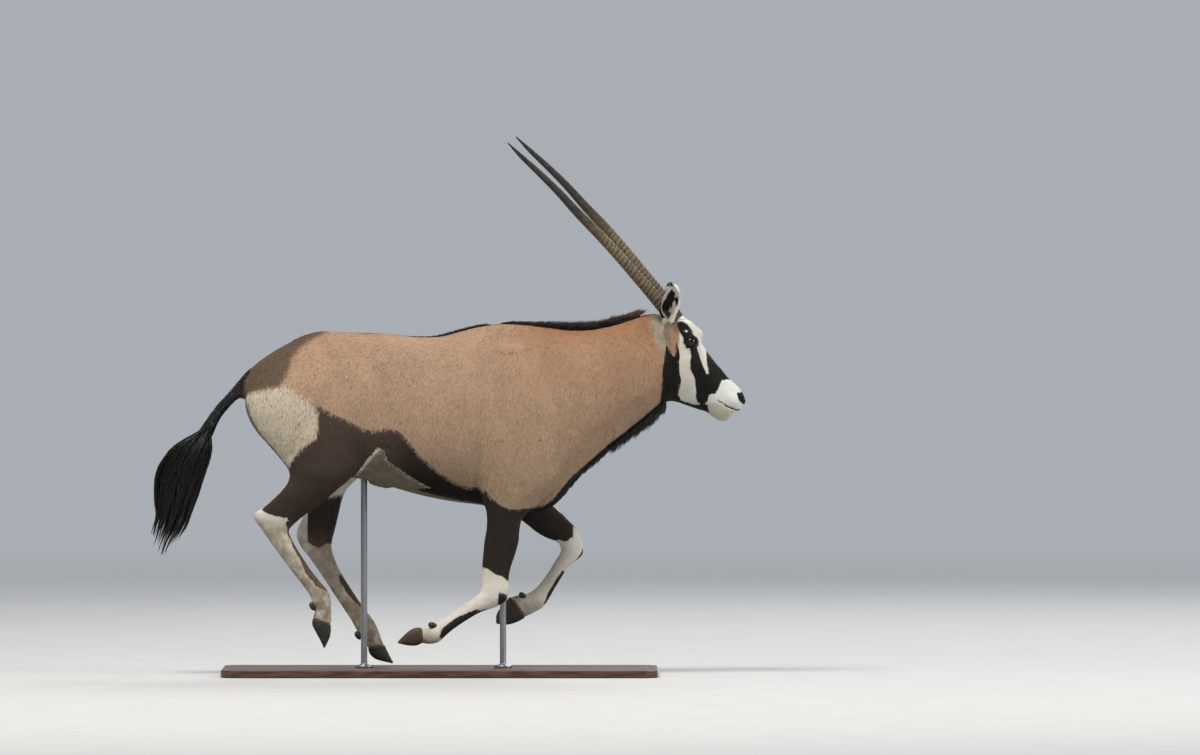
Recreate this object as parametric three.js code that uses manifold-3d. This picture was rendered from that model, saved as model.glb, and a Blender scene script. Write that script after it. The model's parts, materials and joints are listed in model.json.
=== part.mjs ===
// Gemsbok (Oryx gazella), adult male, in the gathered phase of the gallop,
// held by a plain display stand.  Millimetres, +Z up, +X towards the nose,
// +Y towards the animal's left side.  The origin is the middle of the
// underside of the stand's base.
import * as THREE from 'three';
import { mergeVertices } from 'three/addons/utils/BufferGeometryUtils.js';
import Module from 'manifold-3d';

const wasm = await Module();
wasm.setup();

// ---------------------------------------------------------------- sizes
const UNIT = 3.45;              // one unit of the side-view chart, mm
const CHART_X0 = 440;           // chart column above the origin
const CHART_Z0 = 668;           // chart row of the top of the base
const BASE_LENGTH = 1500;       // stand base
const BASE_WIDTH = 620;
const BASE_THICK = 25;
const BASE_CORNER = 60;
const BASE_EDGE = 3;            // small chamfer round the base
const ROD_RADIUS = 11;
const ROD_COLLAR_RADIUS = 32;
const ROD_COLLAR_THICK = 9;
const ROD_FRONT_U = 503;        // chart columns of the two rods
const ROD_REAR_U = 364;
const GAP = 0.3;                // clearance between neighbouring pieces
const HEAD_YAW = 10;            // degrees, nose towards the right side
const HEAD_ROLL = 8;            // degrees, left side up
const HEAD_PIVOT = [668, 345];  // chart place the head turns about
const EYE_RADIUS = 20;
const EYE_SPREAD = 61;          // eye centre from the middle plane
const EYE_PLACE = [694.3, 338.9];
const EAR_ROOT = [671.5, 326];   // root of the ear, and how far the left ear is laid back, degrees
const EAR_LEFT_BACK = 20;
const EAR_LEFT_SPREAD = 1.6;      // the left ear also leans further out
const EAR_LEFT_SHORTER = 0.84;
const HORN_RINGS = 12;          // raised rings on the lower horn
const HORN_RING_RISE = 1.5;
const HORN_RINGED = 0.47;       // ringed share of the horn's length
const HORN_SIDES = 8;
const CLAW_SPREAD = 15.5;       // claw centre from the foot's middle

const X = (u) => (u - CHART_X0) * UNIT;
const Z = (v) => (CHART_Z0 - v) * UNIT + BASE_THICK;

// ---------------------------------------------------------------- lofts
// A station is one cross-section square to the side view:
//   [fu, fv, ru, rv, b, y, wide, nf, nr]
// fu,fv and ru,rv: chart places of its front (upper) and rear (lower) edge;
// b: half width, mm; y: sideways place, mm; wide: where it is widest, as a
// share of the way from the rear edge to the front edge; nf, nr: roundness
// of the front and rear halves (2 is an ellipse, more is squarer).
function fill(row) {
  const [fu, fv, ru, rv, b, y = 0, wide = 0.5, nf = 2, nr = 2] = row;
  return [X(fu), Z(fv), X(ru), Z(rv), b, y, wide, nf, nr];
}

// smooth passage through the stations at parameter t, 0 to 1
function at(rows, t) {
  const n = rows.length - 1;
  const s = Math.min(Math.max(t * n, 0), n);
  const i = Math.min(Math.floor(s), n - 1);
  const w = s - i;
  const p1 = rows[i], p2 = rows[i + 1];
  const p0 = i > 0 ? rows[i - 1] : p1.map((a, k) => 2 * a - p2[k]);
  const p3 = i + 2 <= n ? rows[i + 2] : p2.map((a, k) => 2 * a - p1[k]);
  return p1.map((a, k) => {
    const m1 = (p2[k] - p0[k]) / 2, m2 = (p3[k] - p1[k]) / 2;
    const w2 = w * w, w3 = w2 * w;
    return (2 * w3 - 3 * w2 + 1) * a + (w3 - 2 * w2 + w) * m1
         + (-2 * w3 + 3 * w2) * p2[k] + (w3 - w2) * m2;
  });
}

// the rings of a loft: steps sections, with rounded ends of given lengths
function rings(table, { steps = 20, end0 = 0, end1 = 0, grow = 0, ease = 1, caps = 3 } = {}) {
  const rows = table.map(fill);
  const out = [];
  const ring = (q) => {
    const [fx, fz, rx, rz, b, y, wide, nf, nr] = q;
    const len = Math.hypot(fx - rx, fz - rz);
    const d = [(fx - rx) / len, (fz - rz) / len];
    return { c: [rx + (fx - rx) * wide, rz + (fz - rz) * wide], d,
             hf: (1 - wide) * len + grow, hr: wide * len + grow, b: b + grow, y, nf, nr };
  };
  for (let i = 0; i <= steps; i++) {
    const t = i / steps;
    out.push(ring(at(rows, ease === 1 ? t : Math.pow(t, ease))));
  }
  const cap = (r, to, length) => {
    // rings that close an end as a rounded nose of the given length
    const nx = -r.d[1], nz = r.d[0];
    const side = (to[0] * nx + to[1] * nz) > 0 ? 1 : -1;
    const list = [];
    for (let k = 1; k <= caps; k++) {
      const a = (k / (caps + 0.35)) * Math.PI / 2;
      const s = Math.cos(a), e = Math.sin(a) * (length + grow) * side;
      list.push({ ...r, c: [r.c[0] + nx * e, r.c[1] + nz * e], hf: r.hf * s, hr: r.hr * s, b: r.b * s });
    }
    return list;
  };
  const n = out.length;
  const back = [out[0].c[0] - out[1].c[0], out[0].c[1] - out[1].c[1]];
  const ahead = [out[n - 1].c[0] - out[n - 2].c[0], out[n - 1].c[1] - out[n - 2].c[1]];
  const head = end0 > 0 ? cap(out[0], back, end0).reverse() : [];
  const tail = end1 > 0 ? cap(out[n - 1], ahead, end1) : [];
  return [...head, ...out, ...tail];
}

// the first and last columns of a tube share their places exactly
const snap = (a) => Math.round(a * 1e6) / 1e6;
const power = (c, n) => Math.sign(c) * Math.pow(Math.abs(c), 2 / n);

// a closed tube whose rings are moved onto the given sections
// (the columns are set so that one runs along each edge)
function loftGeometry(list, sides, spread = 0) {
  const rowsN = list.length - 1;
  const g = new THREE.CylinderGeometry(1, 1, 1, sides, rowsN, false);
  const p = g.attributes.position;
  for (let i = 0; i < p.count; i++) {
    const x = snap(p.getX(i)), y = p.getY(i), z = snap(p.getZ(i));
    const r = list[Math.round((0.5 - y) * rowsN)];
    const centre = Math.hypot(x, z) < 0.5;
    const a = Math.atan2(x, z) + (sides % 4 === 0 ? 0 : Math.PI / sides);
    const c = centre ? 0 : Math.cos(a), s = centre ? 0 : Math.sin(a);
    const n = s >= 0 ? r.nf : r.nr;
    const h = (s >= 0 ? r.hf : r.hr) * power(s, n);
    p.setXYZ(i, r.c[0] + r.d[0] * h, r.y + spread + r.b * power(c, n), r.c[1] + r.d[1] * h);
  }
  return g;
}

// ---------------------------------------------------------------- solids
function solid(geometry) {
  let g = geometry.clone();
  for (const name of Object.keys(g.attributes)) if (name !== 'position') g.deleteAttribute(name);
  g = mergeVertices(g, 1e-3);
  const pos = g.attributes.position.array;
  const idx = Array.from(g.index.array);
  const tri = [];
  for (let i = 0; i < idx.length; i += 3) {
    const [a, b, c] = [idx[i], idx[i + 1], idx[i + 2]];
    if (a !== b && b !== c && a !== c) tri.push(a, b, c);
  }
  let volume = 0;
  const v = (k) => new THREE.Vector3(pos[3 * k], pos[3 * k + 1], pos[3 * k + 2]);
  for (let i = 0; i < tri.length; i += 3) {
    volume += v(tri[i]).dot(v(tri[i + 1]).cross(v(tri[i + 2])));
  }
  if (volume < 0) for (let i = 0; i < tri.length; i += 3) [tri[i], tri[i + 1]] = [tri[i + 1], tri[i]];
  return new wasm.Manifold(new wasm.Mesh({
    numProp: 3, vertProperties: new Float32Array(pos), triVerts: new Uint32Array(tri),
  }));
}

function loft(table, options = {}) {
  return solid(loftGeometry(rings(table, options), options.sides ?? 14, options.spread ?? 0));
}

// an ellipsoid at a chart place; radii in mm along, across and up, tilted in the side view
function ball(u, v, y, rx, ry, rz, { tilt = 0, wide = 14, high = 10, grow = 0 } = {}) {
  const g = new THREE.SphereGeometry(1, wide, high);
  g.rotateX(Math.PI / 2);
  g.scale(rx + grow, ry + grow, rz + grow);
  g.rotateY(-tilt * Math.PI / 180);
  g.translate(X(u), y, Z(v));
  return solid(g);
}

// a thin slab square to the side view, along the chart line from p to q
function slab(p, q, y0, y1, past = 40, thick = GAP) {
  const a = [X(p[0]), Z(p[1])], b = [X(q[0]), Z(q[1])];
  const len = Math.hypot(b[0] - a[0], b[1] - a[1]);
  const g = new THREE.BoxGeometry(len + 2 * past, y1 - y0, thick);
  g.rotateY(-Math.atan2(b[1] - a[1], b[0] - a[0]));
  g.translate((a[0] + b[0]) / 2, (y0 + y1) / 2, (a[1] + b[1]) / 2);
  return solid(g);
}

function centre(s) {
  const b = s.boundingBox();
  return [0, 1, 2].map((k) => (b.min[k] + b.max[k]) / 2);
}
const bulk = (s) => s.volume();
// the separate bodies of a solid, crumbs left out
const bodies = (s, least = 500) => s.decompose().filter((p) => bulk(p) > least);
const main = (s) => bodies(s, 0).sort((a, b) => bulk(b) - bulk(a))[0];

// the head, ears, eyes and horns turn together about the poll
const headTurn = new THREE.Matrix4().makeTranslation(X(HEAD_PIVOT[0]), 0, Z(HEAD_PIVOT[1]))
  .multiply(new THREE.Matrix4().makeRotationZ(-HEAD_YAW * Math.PI / 180))
  .multiply(new THREE.Matrix4().makeRotationX(HEAD_ROLL * Math.PI / 180))
  .multiply(new THREE.Matrix4().makeTranslation(-X(HEAD_PIVOT[0]), 0, -Z(HEAD_PIVOT[1])));
const turned = (s) => s.transform(Array.from(headTurn.elements));

// ---------------------------------------------------------------- trunk and neck
// upright sections: [u, top, bottom, half width, widest row, top roundness, bottom roundness]
const TORSO = [
  [247, 376, 404, 78, 391, 2.2, 2.0],
  [256, 364, 420, 116, 393, 2.3, 2.1],
  [268, 354, 438, 142, 396, 2.2, 2.0],
  [284, 344.5, 456, 160, 399, 2.2, 2.0],
  [302, 335.5, 468, 170, 403, 2.2, 2.0],
  [320, 330.5, 474, 176, 408, 2.2, 2.1],
  [340, 331, 477, 188, 414, 2.2, 2.2],
  [360, 332, 480, 201, 420, 2.1, 2.2],
  [380, 332.5, 484.5, 214, 425, 2.1, 2.25],
  [400, 334.5, 490.5, 221, 429, 2.1, 2.25],
  [420, 336, 496, 224, 432, 2.05, 2.25],
  [440, 335.5, 500.3, 222, 434, 2.0, 2.25],
  [460, 330.5, 503.5, 214, 434, 1.9, 2.2],
  [480, 325.5, 506, 190, 433, 1.8, 2.2],
  [500, 322.8, 510, 170, 431, 1.75, 2.1],
  [520, 323.2, 513.5, 155, 428, 1.75, 2.1],
  [540, 325.5, 512, 143, 423, 1.8, 2.1],
  [556, 327.5, 505, 135, 417, 1.8, 2.0],
  [570, 329, 489, 128, 410, 1.85, 1.95],
  [585, 329, 471, 121, 402, 1.9, 1.9],
  [600, 327, 456, 112, 394, 1.9, 1.9],
  [615, 323.5, 443, 103, 386, 1.9, 1.9],
  [630, 318.5, 430, 94, 377, 1.95, 1.9],
  [645, 314, 418, 85, 367, 2.0, 1.9],
  [658, 313.5, 407, 76, 360, 2.0, 1.9],
  [670, 320, 396, 64, 357, 2.0, 2.0],
].map(([u, top, low, w, row, nt, nb]) => [u, top, u, low, w, 0, (low - row) / (low - top), nt, nb]);

// ---------------------------------------------------------------- head
const HEAD = [
  [661, 317, 650, 386, 56, 0, 0.55, 2.1, 2.0],
  [670, 316.5, 657, 396, 65, 0, 0.60, 2.2, 2.0],
  [678, 317.5, 664, 402.5, 71, 0, 0.63, 2.4, 1.95],
  [687.4, 318.6, 671, 402.5, 74, 0, 0.66, 2.6, 1.9],
  [694.3, 323.8, 678, 404, 75, 0, 0.68, 2.7, 1.85],
  [698.6, 332.5, 685, 406.5, 72, 0, 0.68, 2.7, 1.85],
  [702.1, 343.6, 692, 408.8, 65, 0, 0.64, 2.6, 1.85],
  [708.3, 352.6, 699, 411, 57, 0, 0.60, 2.4, 1.85],
  [715, 361.4, 705.5, 413, 50, 0, 0.56, 2.2, 1.9],
  [721.3, 368.9, 711, 417.3, 45.5, 0, 0.52, 2.1, 1.95],
  [727.4, 376.8, 716, 420.8, 43, 0, 0.50, 2.1, 2.0],
  [733.2, 382.6, 721.5, 422.2, 42, 0, 0.48, 2.2, 2.0],
  [738.6, 387.8, 727, 421, 40, 0, 0.47, 2.3, 2.0],
  [742.8, 394, 731.5, 416.5, 35, 0, 0.47, 2.3, 2.0],
  [745.2, 400.5, 735, 412, 26, 0, 0.47, 2.2, 2.0],
];

// ---------------------------------------------------------------- legs
const HIND_RIGHT = [
  [316, 350, 262, 374, 46, -88],
  [338, 378, 247, 394, 80, -108],
  [356, 404, 246, 410, 92, -112, 0.5, 2.1, 2.1],
  [368, 430, 254, 428, 88, -115, 0.5, 2.1, 2.1],
  [372, 450, 269, 446, 78, -119, 0.5, 2.0, 2.1],
  [364, 467, 281, 460, 66, -123],
  [352, 479, 288.5, 471, 57, -126],
  [341, 488, 288, 480, 50, -122],
  [330, 497.5, 281.5, 489.5, 44, -117],
  [319, 506, 272.5, 498.5, 39, -112],
  [308, 514, 263, 506.5, 35, -107],
  [298.5, 521.5, 255, 511.5, 32, -102, 0.58],
  [292, 527.5, 254, 518.5, 30, -99, 0.6],
  [290.5, 531, 261, 529, 28, -97, 0.58],
  [291.5, 534.5, 268.5, 539.5, 25, -95, 0.54],
  [296, 543.5, 278, 552.5, 22, -93],
  [303, 555.5, 286.5, 564, 21, -91],
  [312, 569, 296, 576.5, 21, -89],
  [321, 580.5, 305, 588, 23, -88],
  [328.5, 589.5, 310.5, 596.5, 27, -88],
  [331.8, 599, 312, 603.5, 28, -88],
  [332.3, 609, 314.5, 610.5, 26, -88],
  [332.2, 619, 313.5, 615, 27, -88],
  [331.2, 625, 313.2, 618.3, 28, -88],
];
const HIND_LEFT = [
  [322, 350, 270, 372, 46, 88],
  [345, 378, 253, 392, 80, 108],
  [362, 404, 254, 410, 92, 112, 0.5, 2.1, 2.1],
  [373, 430, 262, 430, 88, 115, 0.5, 2.1, 2.1],
  [375, 450, 277, 450, 78, 119, 0.5, 2.0, 2.1],
  [369, 467, 289, 466, 66, 123],
  [358, 479.5, 297, 478, 57, 126],
  [348.5, 489, 302, 489, 50, 122],
  [343, 499, 304, 500, 44, 117],
  [340.5, 509, 303.5, 510, 39, 112],
  [338, 519.5, 300.5, 519.5, 35, 107],
  [335.5, 529.5, 296.5, 527.5, 32, 102, 0.58],
  [332.8, 539, 295, 536.5, 30, 99, 0.6],
  [331.8, 546.5, 299, 547, 28, 97, 0.58],
  [332.8, 553, 307, 557.5, 25, 95, 0.54],
  [336, 562.5, 315.5, 569, 22, 93],
  [341.5, 574, 323.5, 581, 21, 91],
  [349, 586, 332, 594, 21, 89],
  [357.5, 599, 341, 607.5, 21, 88],
  [366.5, 611.5, 349, 619.5, 23, 87],
  [374.5, 622.5, 354.5, 629, 27, 87],
  [379, 632.5, 358.5, 637, 28, 87],
  [382, 641, 364, 644.5, 26, 87],
  [384.5, 647, 367.5, 649.5, 28, 87],
];
const FORE_RIGHT = [
  [523, 352, 500, 354, 20, -88],
  [534, 374, 494, 378, 36, -114],
  [546, 402, 488, 404, 50, -128],
  [557, 430, 482, 430, 58, -131],
  [562, 458, 478.5, 456, 62, -130],
  [557, 484, 478.5, 480, 59, -129],
  [540, 503, 481.5, 498, 51, -124],
  [525, 516, 485.5, 512, 44, -119],
  [521, 527.5, 486, 526, 39, -114],
  [519.5, 541, 484, 540, 34.5, -108],
  [516, 554, 482.5, 555, 30.5, -103],
  [511.5, 567.5, 481.7, 568, 28, -99],
  [509.6, 579, 482, 578.5, 27, -96],
  [510, 590, 481.5, 586.5, 28, -94],
  [506.5, 600.5, 479.5, 592, 27, -92],
  [495, 607.3, 475.5, 595.5, 24, -90],
  [481, 612.3, 470, 599.5, 21.5, -88],
  [467.5, 620, 459.5, 606.3, 20.5, -86],
  [456, 627.7, 448.5, 614.7, 20.5, -84],
  [447.5, 634.5, 439, 621, 23, -82],
  [440, 641.5, 431, 625.5, 26.5, -81],
  [430.5, 644, 426, 627.5, 26.5, -80],
  [421.5, 643, 420.5, 627, 27, -80],
];
const FORE_LEFT = [
  [531, 352, 508, 354, 20, 88],
  [543, 374, 503, 378, 36, 114],
  [555, 402, 498, 404, 50, 128],
  [565, 430, 493, 431, 58, 131],
  [569, 456, 491, 458, 62, 130],
  [567, 479, 494, 483, 59, 129],
  [560.5, 496, 503, 503, 51, 124],
  [558.5, 507.5, 514, 516.5, 44, 119],
  [565, 516, 526, 526, 39, 114],
  [571.5, 522.8, 537, 534.5, 34.5, 108],
  [577.5, 529.5, 547, 539.7, 30.5, 103],
  [581.8, 538, 554.5, 542.3, 28, 99],
  [583.8, 547, 558.5, 546, 28, 96],
  [583, 555.3, 559.8, 551, 28, 94],
  [577, 561.5, 557.8, 556.3, 25, 92],
  [569, 568.5, 554, 562, 22, 90],
  [562.3, 578, 549, 570.5, 20.5, 88],
  [555, 590, 541, 582, 20.5, 86],
  [549.5, 599.5, 534, 589.5, 23, 84],
  [543.5, 608, 526.5, 593.8, 26.5, 83],
  [534, 614, 517.5, 595.3, 26.5, 82],
  [524.5, 618.5, 509.5, 598, 27, 82],
];

// ---------------------------------------------------------------- tail
const DOCK_STYLE = { steps: 6, sides: 8, end0: 10, end1: 4, caps: 1 };
const DOCK = [
  [262, 362, 262, 392, 34, 0],
  [250, 369, 251, 396, 30, 0],
  [240, 378.5, 243.5, 397.5, 24, 0],
  [229.5, 391, 236, 401, 20, 0],
  [219.5, 402, 228.5, 408.5, 18, 0],
  [210, 414.5, 221, 418, 17, 0],
  [204.5, 423, 217, 426, 18, 0],
];
const TUFT = [
  [205.5, 421.5, 217.5, 424.5, 15, 0],
  [191.5, 432.5, 214, 435.5, 23, 0],
  [177.5, 443.5, 211.5, 447.5, 30, 0],
  [164, 460, 207, 462, 35, 0],
  [156, 477.5, 201.5, 479, 36, 0],
  [153.8, 498, 197.5, 497, 34, 0],
  [153, 516, 193, 513, 29, 0],
  [149, 531, 187, 529, 21, 0],
  [148, 542.5, 175, 545, 12, 0],
];

// ---------------------------------------------------------------- mane and throat fringe
// a thin crest: [u, hair tips, skin] as upright sections
const CREST = [
  [486, 323.2, 333, 5], [500, 321, 333, 6], [520, 320.5, 334, 7], [536, 320.6, 336, 8],
  [552, 319, 339, 8.5], [570, 317.8, 340, 9], [588, 317.6, 340, 9], [604, 317, 338, 9],
  [618, 314.7, 334, 9], [630, 310.8, 330, 8], [641, 309.8, 325, 6],
].map(([u, tip, skin, b]) => [u, tip, u, skin, b, 0, 0.4, 1.7, 2]);
const FRINGE = [
  [560, 488, 565, 499, 6, 0], [570, 474, 576.5, 485.5, 8, 0], [580, 466, 587, 477.5, 9, 0],
  [591, 458, 598, 470.8, 10, 0], [602, 450, 609.5, 463, 11, 0], [612, 440, 621, 453, 12, 0],
  [622, 431, 632.5, 445, 12, 0], [632, 422, 644.5, 438, 12.5, 0], [641, 415, 656, 432.3, 12.5, 0],
  [647, 409, 661.7, 425, 12, 0], [653, 402, 664, 414, 10, 0], [659, 396, 666.5, 404.5, 7, 0],
];

// ---------------------------------------------------------------- ear
// front (f) and rear (r) rims of the right ear, from its root to its tip; y is its outer lean
const EAR = [
  [678.5, 323, 664.5, 326, 17, -62],
  [680.5, 313.6, 665, 316.6, 19, -71],
  [683.7, 304.3, 664.2, 305.8, 20, -80],
  [686, 295, 667.6, 296, 18.5, -89],
  [685.2, 287.2, 671.8, 286.8, 13.5, -97],
  [681.6, 280.6, 675.4, 279.4, 6, -103],
];

// ---------------------------------------------------------------- horn
// axis of the right horn: chart place, half spacing, radius
const HORN = [
  [677.5, 321, -40, 21.5],
  [667, 306.6, -43, 21.2],
  [656.6, 293, -47, 20.6],
  [642, 275, -53, 19.6],
  [622.4, 251.2, -64, 18.4],
  [602.6, 228.6, -73, 17],
  [582.7, 207.4, -78, 15],
  [564.8, 187.3, -80, 12.8],
  [547, 169.3, -81, 10.8],
  [529, 152.3, -81, 8],
  [514.3, 137.6, -79, 1.6],
];

// ---------------------------------------------------------------- hooves
// claws as [front edge, rear edge, half width], from the coronet to the toe
const CLAWS = {
  hind_right: { y: -88, rows: [[331.15, 625.2, 313.15, 618.5, 14.2], [331.2, 630.5, 312.8, 624, 14.5],
    [330.2, 636.5, 316.2, 631, 12.5], [327.6, 642.5, 320.8, 639.5, 9], [325.6, 646.6, 323.6, 645.4, 4]] },
  hind_left: { y: 87, rows: [[384.55, 647.2, 367.55, 649.7, 14.2], [386.6, 651.6, 369.6, 655, 14.5],
    [388.8, 656, 374.5, 659.5, 12.5], [391, 660.3, 382, 662, 9], [392.8, 663, 389.6, 663.6, 4]] },
  fore_right: { y: -80, rows: [[421.3, 643, 420.3, 627, 14.2], [416.5, 644.8, 415, 627.6, 14.5],
    [411, 645, 408.5, 631, 12.5], [404, 644, 402.5, 636.5, 9], [399.2, 642.6, 398.6, 640.4, 4]] },
  fore_left: { y: 82, rows: [[524.35, 618.6, 509.35, 598.1, 14.2], [518.5, 622, 505.3, 602.5, 14.5],
    [511.5, 624.6, 500.3, 608.5, 12.5], [504, 625.6, 496.3, 615.5, 9], [498, 624.8, 495.8, 621.8, 4]] },
};
const DEWCLAWS = {
  hind_right: { u: 313.2, v: 605.8, y: -88, tilt: -62 },
  hind_left: { u: 357.6, v: 636.4, y: 87, tilt: -60 },
  fore_right: { u: 433, v: 624.6, y: -81, tilt: -10 },
  fore_left: { u: 522.8, v: 596.6, y: 82, tilt: -40 },
};

// ================================================================ build
const nodes = [];   // [name, solid, colour, roughness, metalness]
const keep = (name, s, colour, rough = 0.85, metal = 0) => nodes.push([name, s, colour, rough, metal]);

const torsoWith = (grow) => loft(TORSO, { steps: 20, sides: 18, end0: 14, end1: 16, grow, caps: 1 });
const headWith = (grow) => loft(HEAD, { steps: 13, sides: 14, end0: 12, end1: 9, grow, caps: 1 });

// head: skull loft with brow, cheek and lip swellings, mouth line and nostrils
const brow = (side) => ball(691.8, 331.8, side * 58, 30, 20, 15, { tilt: -30, wide: 8, high: 6 });
let head = headWith(0);
for (const side of [-1, 1]) head = head.add(brow(side));
// the mouth is a thin slit that runs back from between the lips
const mouth = (() => {
  const g = new THREE.BoxGeometry(30 * UNIT, 120, 2.2);
  g.rotateY(28 * Math.PI / 180);
  g.translate(X(733), 0, Z(410.6));
  return solid(g);
})();
head = head.subtract(mouth);
for (const side of [-1, 1]) head = head.subtract(ball(743.6, 398.2, side * 17, 10, 7, 13, { tilt: 35, wide: 6, high: 5 }));

const eye = (side, grow = 0) =>
  ball(EYE_PLACE[0], EYE_PLACE[1], side * EYE_SPREAD, EYE_RADIUS, EYE_RADIUS, EYE_RADIUS, { wide: 8, high: 6, grow });

// ear: a cupped leaf, open to the side
function ear(side, grow = 0) {
  // the left ear is laid further back, turned about its root
  const lean = (side > 0 ? EAR_LEFT_BACK : 0) * Math.PI / 180;
  const short = side > 0 ? EAR_LEFT_SHORTER : 1, out = side > 0 ? EAR_LEFT_SPREAD : 1;
  const turn = (u, v) => {
    const [cu, cv] = EAR_ROOT, a = u - cu, b = (v - cv) * short;
    return [cu + a * Math.cos(lean) + b * Math.sin(lean), cv - a * Math.sin(lean) + b * Math.cos(lean)];
  };
  const place = (rows) => rows.map(([fu, fv, ru, rv, b, y]) =>
    [...turn(fu, fv), ...turn(ru, rv), b, -side * (EAR[0][5] + (y - EAR[0][5]) * out)]);
  const outer = loft(place(EAR), { steps: 6, sides: 8, end0: 8, end1: 5, grow, caps: 1 });
  if (grow > 0) return outer;
  const hollow = place(EAR).slice(1).map(([fu, fv, ru, rv, b, y]) =>
    [fu - 1.6, fv + 0.6, ru + 1.6, rv - 0.2, b * 0.92, y + side * (b * 0.62)]);
  return outer.subtract(loft(hollow, { steps: 4, sides: 8, end0: 10, end1: 0.1, caps: 1 }));
}

// horn: a tapering round rod with raised rings on its lower part
function horn(side, grow = 0) {
  const curve = new THREE.CatmullRomCurve3(HORN.map(([u, v, y]) => new THREE.Vector3(X(u), -side * y, Z(v))));
  const reach = HORN.map((h) => h[3]);
  const radius = (t) => {
    const s = t * (reach.length - 1), i = Math.min(Math.floor(s), reach.length - 2);
    return reach[i] + (reach[i + 1] - reach[i]) * (s - i);
  };
  const stops = [];
  const ringed = HORN_RINGED, step = ringed / HORN_RINGS;
  for (let k = 0; k < HORN_RINGS; k++) stops.push([k * step + 0.02, 0], [(k + 0.5) * step + 0.02, HORN_RING_RISE * (1 - k / HORN_RINGS * 0.7)]);
  for (let k = 0; k <= 4; k++) stops.push([0.02 + ringed + (1 - ringed - 0.02) * (k / 4), 0]);
  stops.unshift([0, 0]);
  const g = new THREE.CylinderGeometry(1, 1, 1, HORN_SIDES, stops.length - 1, false);
  const p = g.attributes.position;
  const side3 = new THREE.Vector3(0, 1, 0);
  for (let i = 0; i < p.count; i++) {
    const x = snap(p.getX(i)), y = p.getY(i), z = snap(p.getZ(i));
    const [t, rise] = stops[Math.round((0.5 - y) * (stops.length - 1))];
    const c = curve.getPoint(t), d = curve.getTangent(t);
    const a = new THREE.Vector3().crossVectors(d, side3).normalize();
    const b = new THREE.Vector3().crossVectors(a, d).normalize();
    const r = (Math.hypot(x, z) < 0.5 ? 0 : radius(t) + rise + grow);
    const w = Math.atan2(x, z);
    p.setXYZ(i, c.x + a.x * r * Math.cos(w) + b.x * r * Math.sin(w),
      c.y + a.y * r * Math.cos(w) + b.y * r * Math.sin(w),
      c.z + a.z * r * Math.cos(w) + b.z * r * Math.sin(w));
  }
  return solid(g);
}

// trunk, neck and head are one form, parted by thin cuts
let axial = torsoWith(0).add(turned(head));
axial = axial.add(ball(381, 484.5, 0, 40, 17, 13, { tilt: -12, wide: 12, high: 8 }));
axial = axial.subtract(slab([531, 312], [582, 500], -400, 400, 60));
axial = axial.subtract(slab([655, 306], [668.5, 412], -300, 300, 30));
const parts3 = bodies(axial, 1e5).sort((a, b) => centre(a)[0] - centre(b)[0]);
let [trunk, neck, skull] = parts3;

// legs
const legStyle = {
  hind: { steps: 19, sides: 12, end0: 10, end1: 0, caps: 1 },
  fore: { steps: 18, sides: 12, end0: 10, end1: 0, caps: 1 },
};
const legTables = { hind_right: HIND_RIGHT, hind_left: HIND_LEFT, fore_right: FORE_RIGHT, fore_left: FORE_LEFT };
// where each leg is parted: [upper joint line, lower joint line]
const legCuts = {
  hind_right: [[[287, 470], [354, 478]], [[259, 527], [292, 531.5]]],
  hind_left: [[[295, 477], [361, 478]], [[297, 545], [333, 549]]],
  fore_right: [[[481, 500], [541, 506]], [[478, 592.5], [501, 604.5]]],
  fore_left: [[[503, 506], [562, 497]], [[558, 555.5], [578, 561.5]]],
};
const legNames = {
  hind: ['thigh', 'shank', 'cannon'],
  fore: ['shoulder', 'forearm', 'cannon'],
};
const legGrown = {};
const legPieces = {};
for (const [key, table] of Object.entries(legTables)) {
  const kind = key.split('_')[0], side = key.endsWith('right') ? -1 : 1;
  const style = legStyle[kind];
  let s = loft(table, style);
  legGrown[key] = loft(table, { ...style, grow: GAP });
  const y0 = side < 0 ? -260 : 20, y1 = side < 0 ? -20 : 260;
  for (const [p, q] of legCuts[key]) s = s.subtract(slab(p, q, y0, y1, 24));
  const found = bodies(s, 1000);
  found.sort((a, b) => centre(b)[2] - centre(a)[2]);
  legPieces[key] = found;
  if (found.length !== 3) throw new Error(`${key}: ${found.length} pieces`);
}
for (const key of Object.keys(legTables)) trunk = trunk.subtract(legGrown[key]);
trunk = trunk.subtract(loft(DOCK, { ...DOCK_STYLE, grow: GAP }));
trunk = main(trunk);
neck = main(neck.subtract(legGrown.fore_right).subtract(legGrown.fore_left));

// eyes, ears and horns are set into the head
for (const side of [-1, 1]) {
  skull = skull.subtract(turned(eye(side, GAP))).subtract(turned(ear(side, GAP))).subtract(turned(horn(side, GAP)));
}
skull = main(skull);

keep('trunk', trunk, 0xb9987f);
keep('neck', neck, 0xc39a78);
keep('head', skull, 0x8d857a);
for (const [side, name] of [[-1, 'right'], [1, 'left']]) {
  keep(`eye_${name}`, turned(eye(side)), 0x1a1210, 0.15);
  const other = turned(horn(side, GAP));
  keep(`ear_${name}`, main(turned(ear(side)).subtract(other)), 0xcfc6b8);
  keep(`horn_${name}`, turned(horn(side)), 0x4b4238, 0.45);
}
const legColour = { thigh: 0x6d5d52, shank: 0x3c332e, cannon: 0xa99c8d, shoulder: 0xa98c78, forearm: 0x4a413b };
for (const key of Object.keys(legTables)) {
  const [kind, side] = key.split('_');
  legPieces[key].forEach((s, i) => {
    const part = legNames[kind][i];
    keep(`${kind}leg_${side}_${part}`, s, kind === 'fore' && part === 'cannon' ? 0xd6d0c6 : legColour[part]);
  });
}

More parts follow.
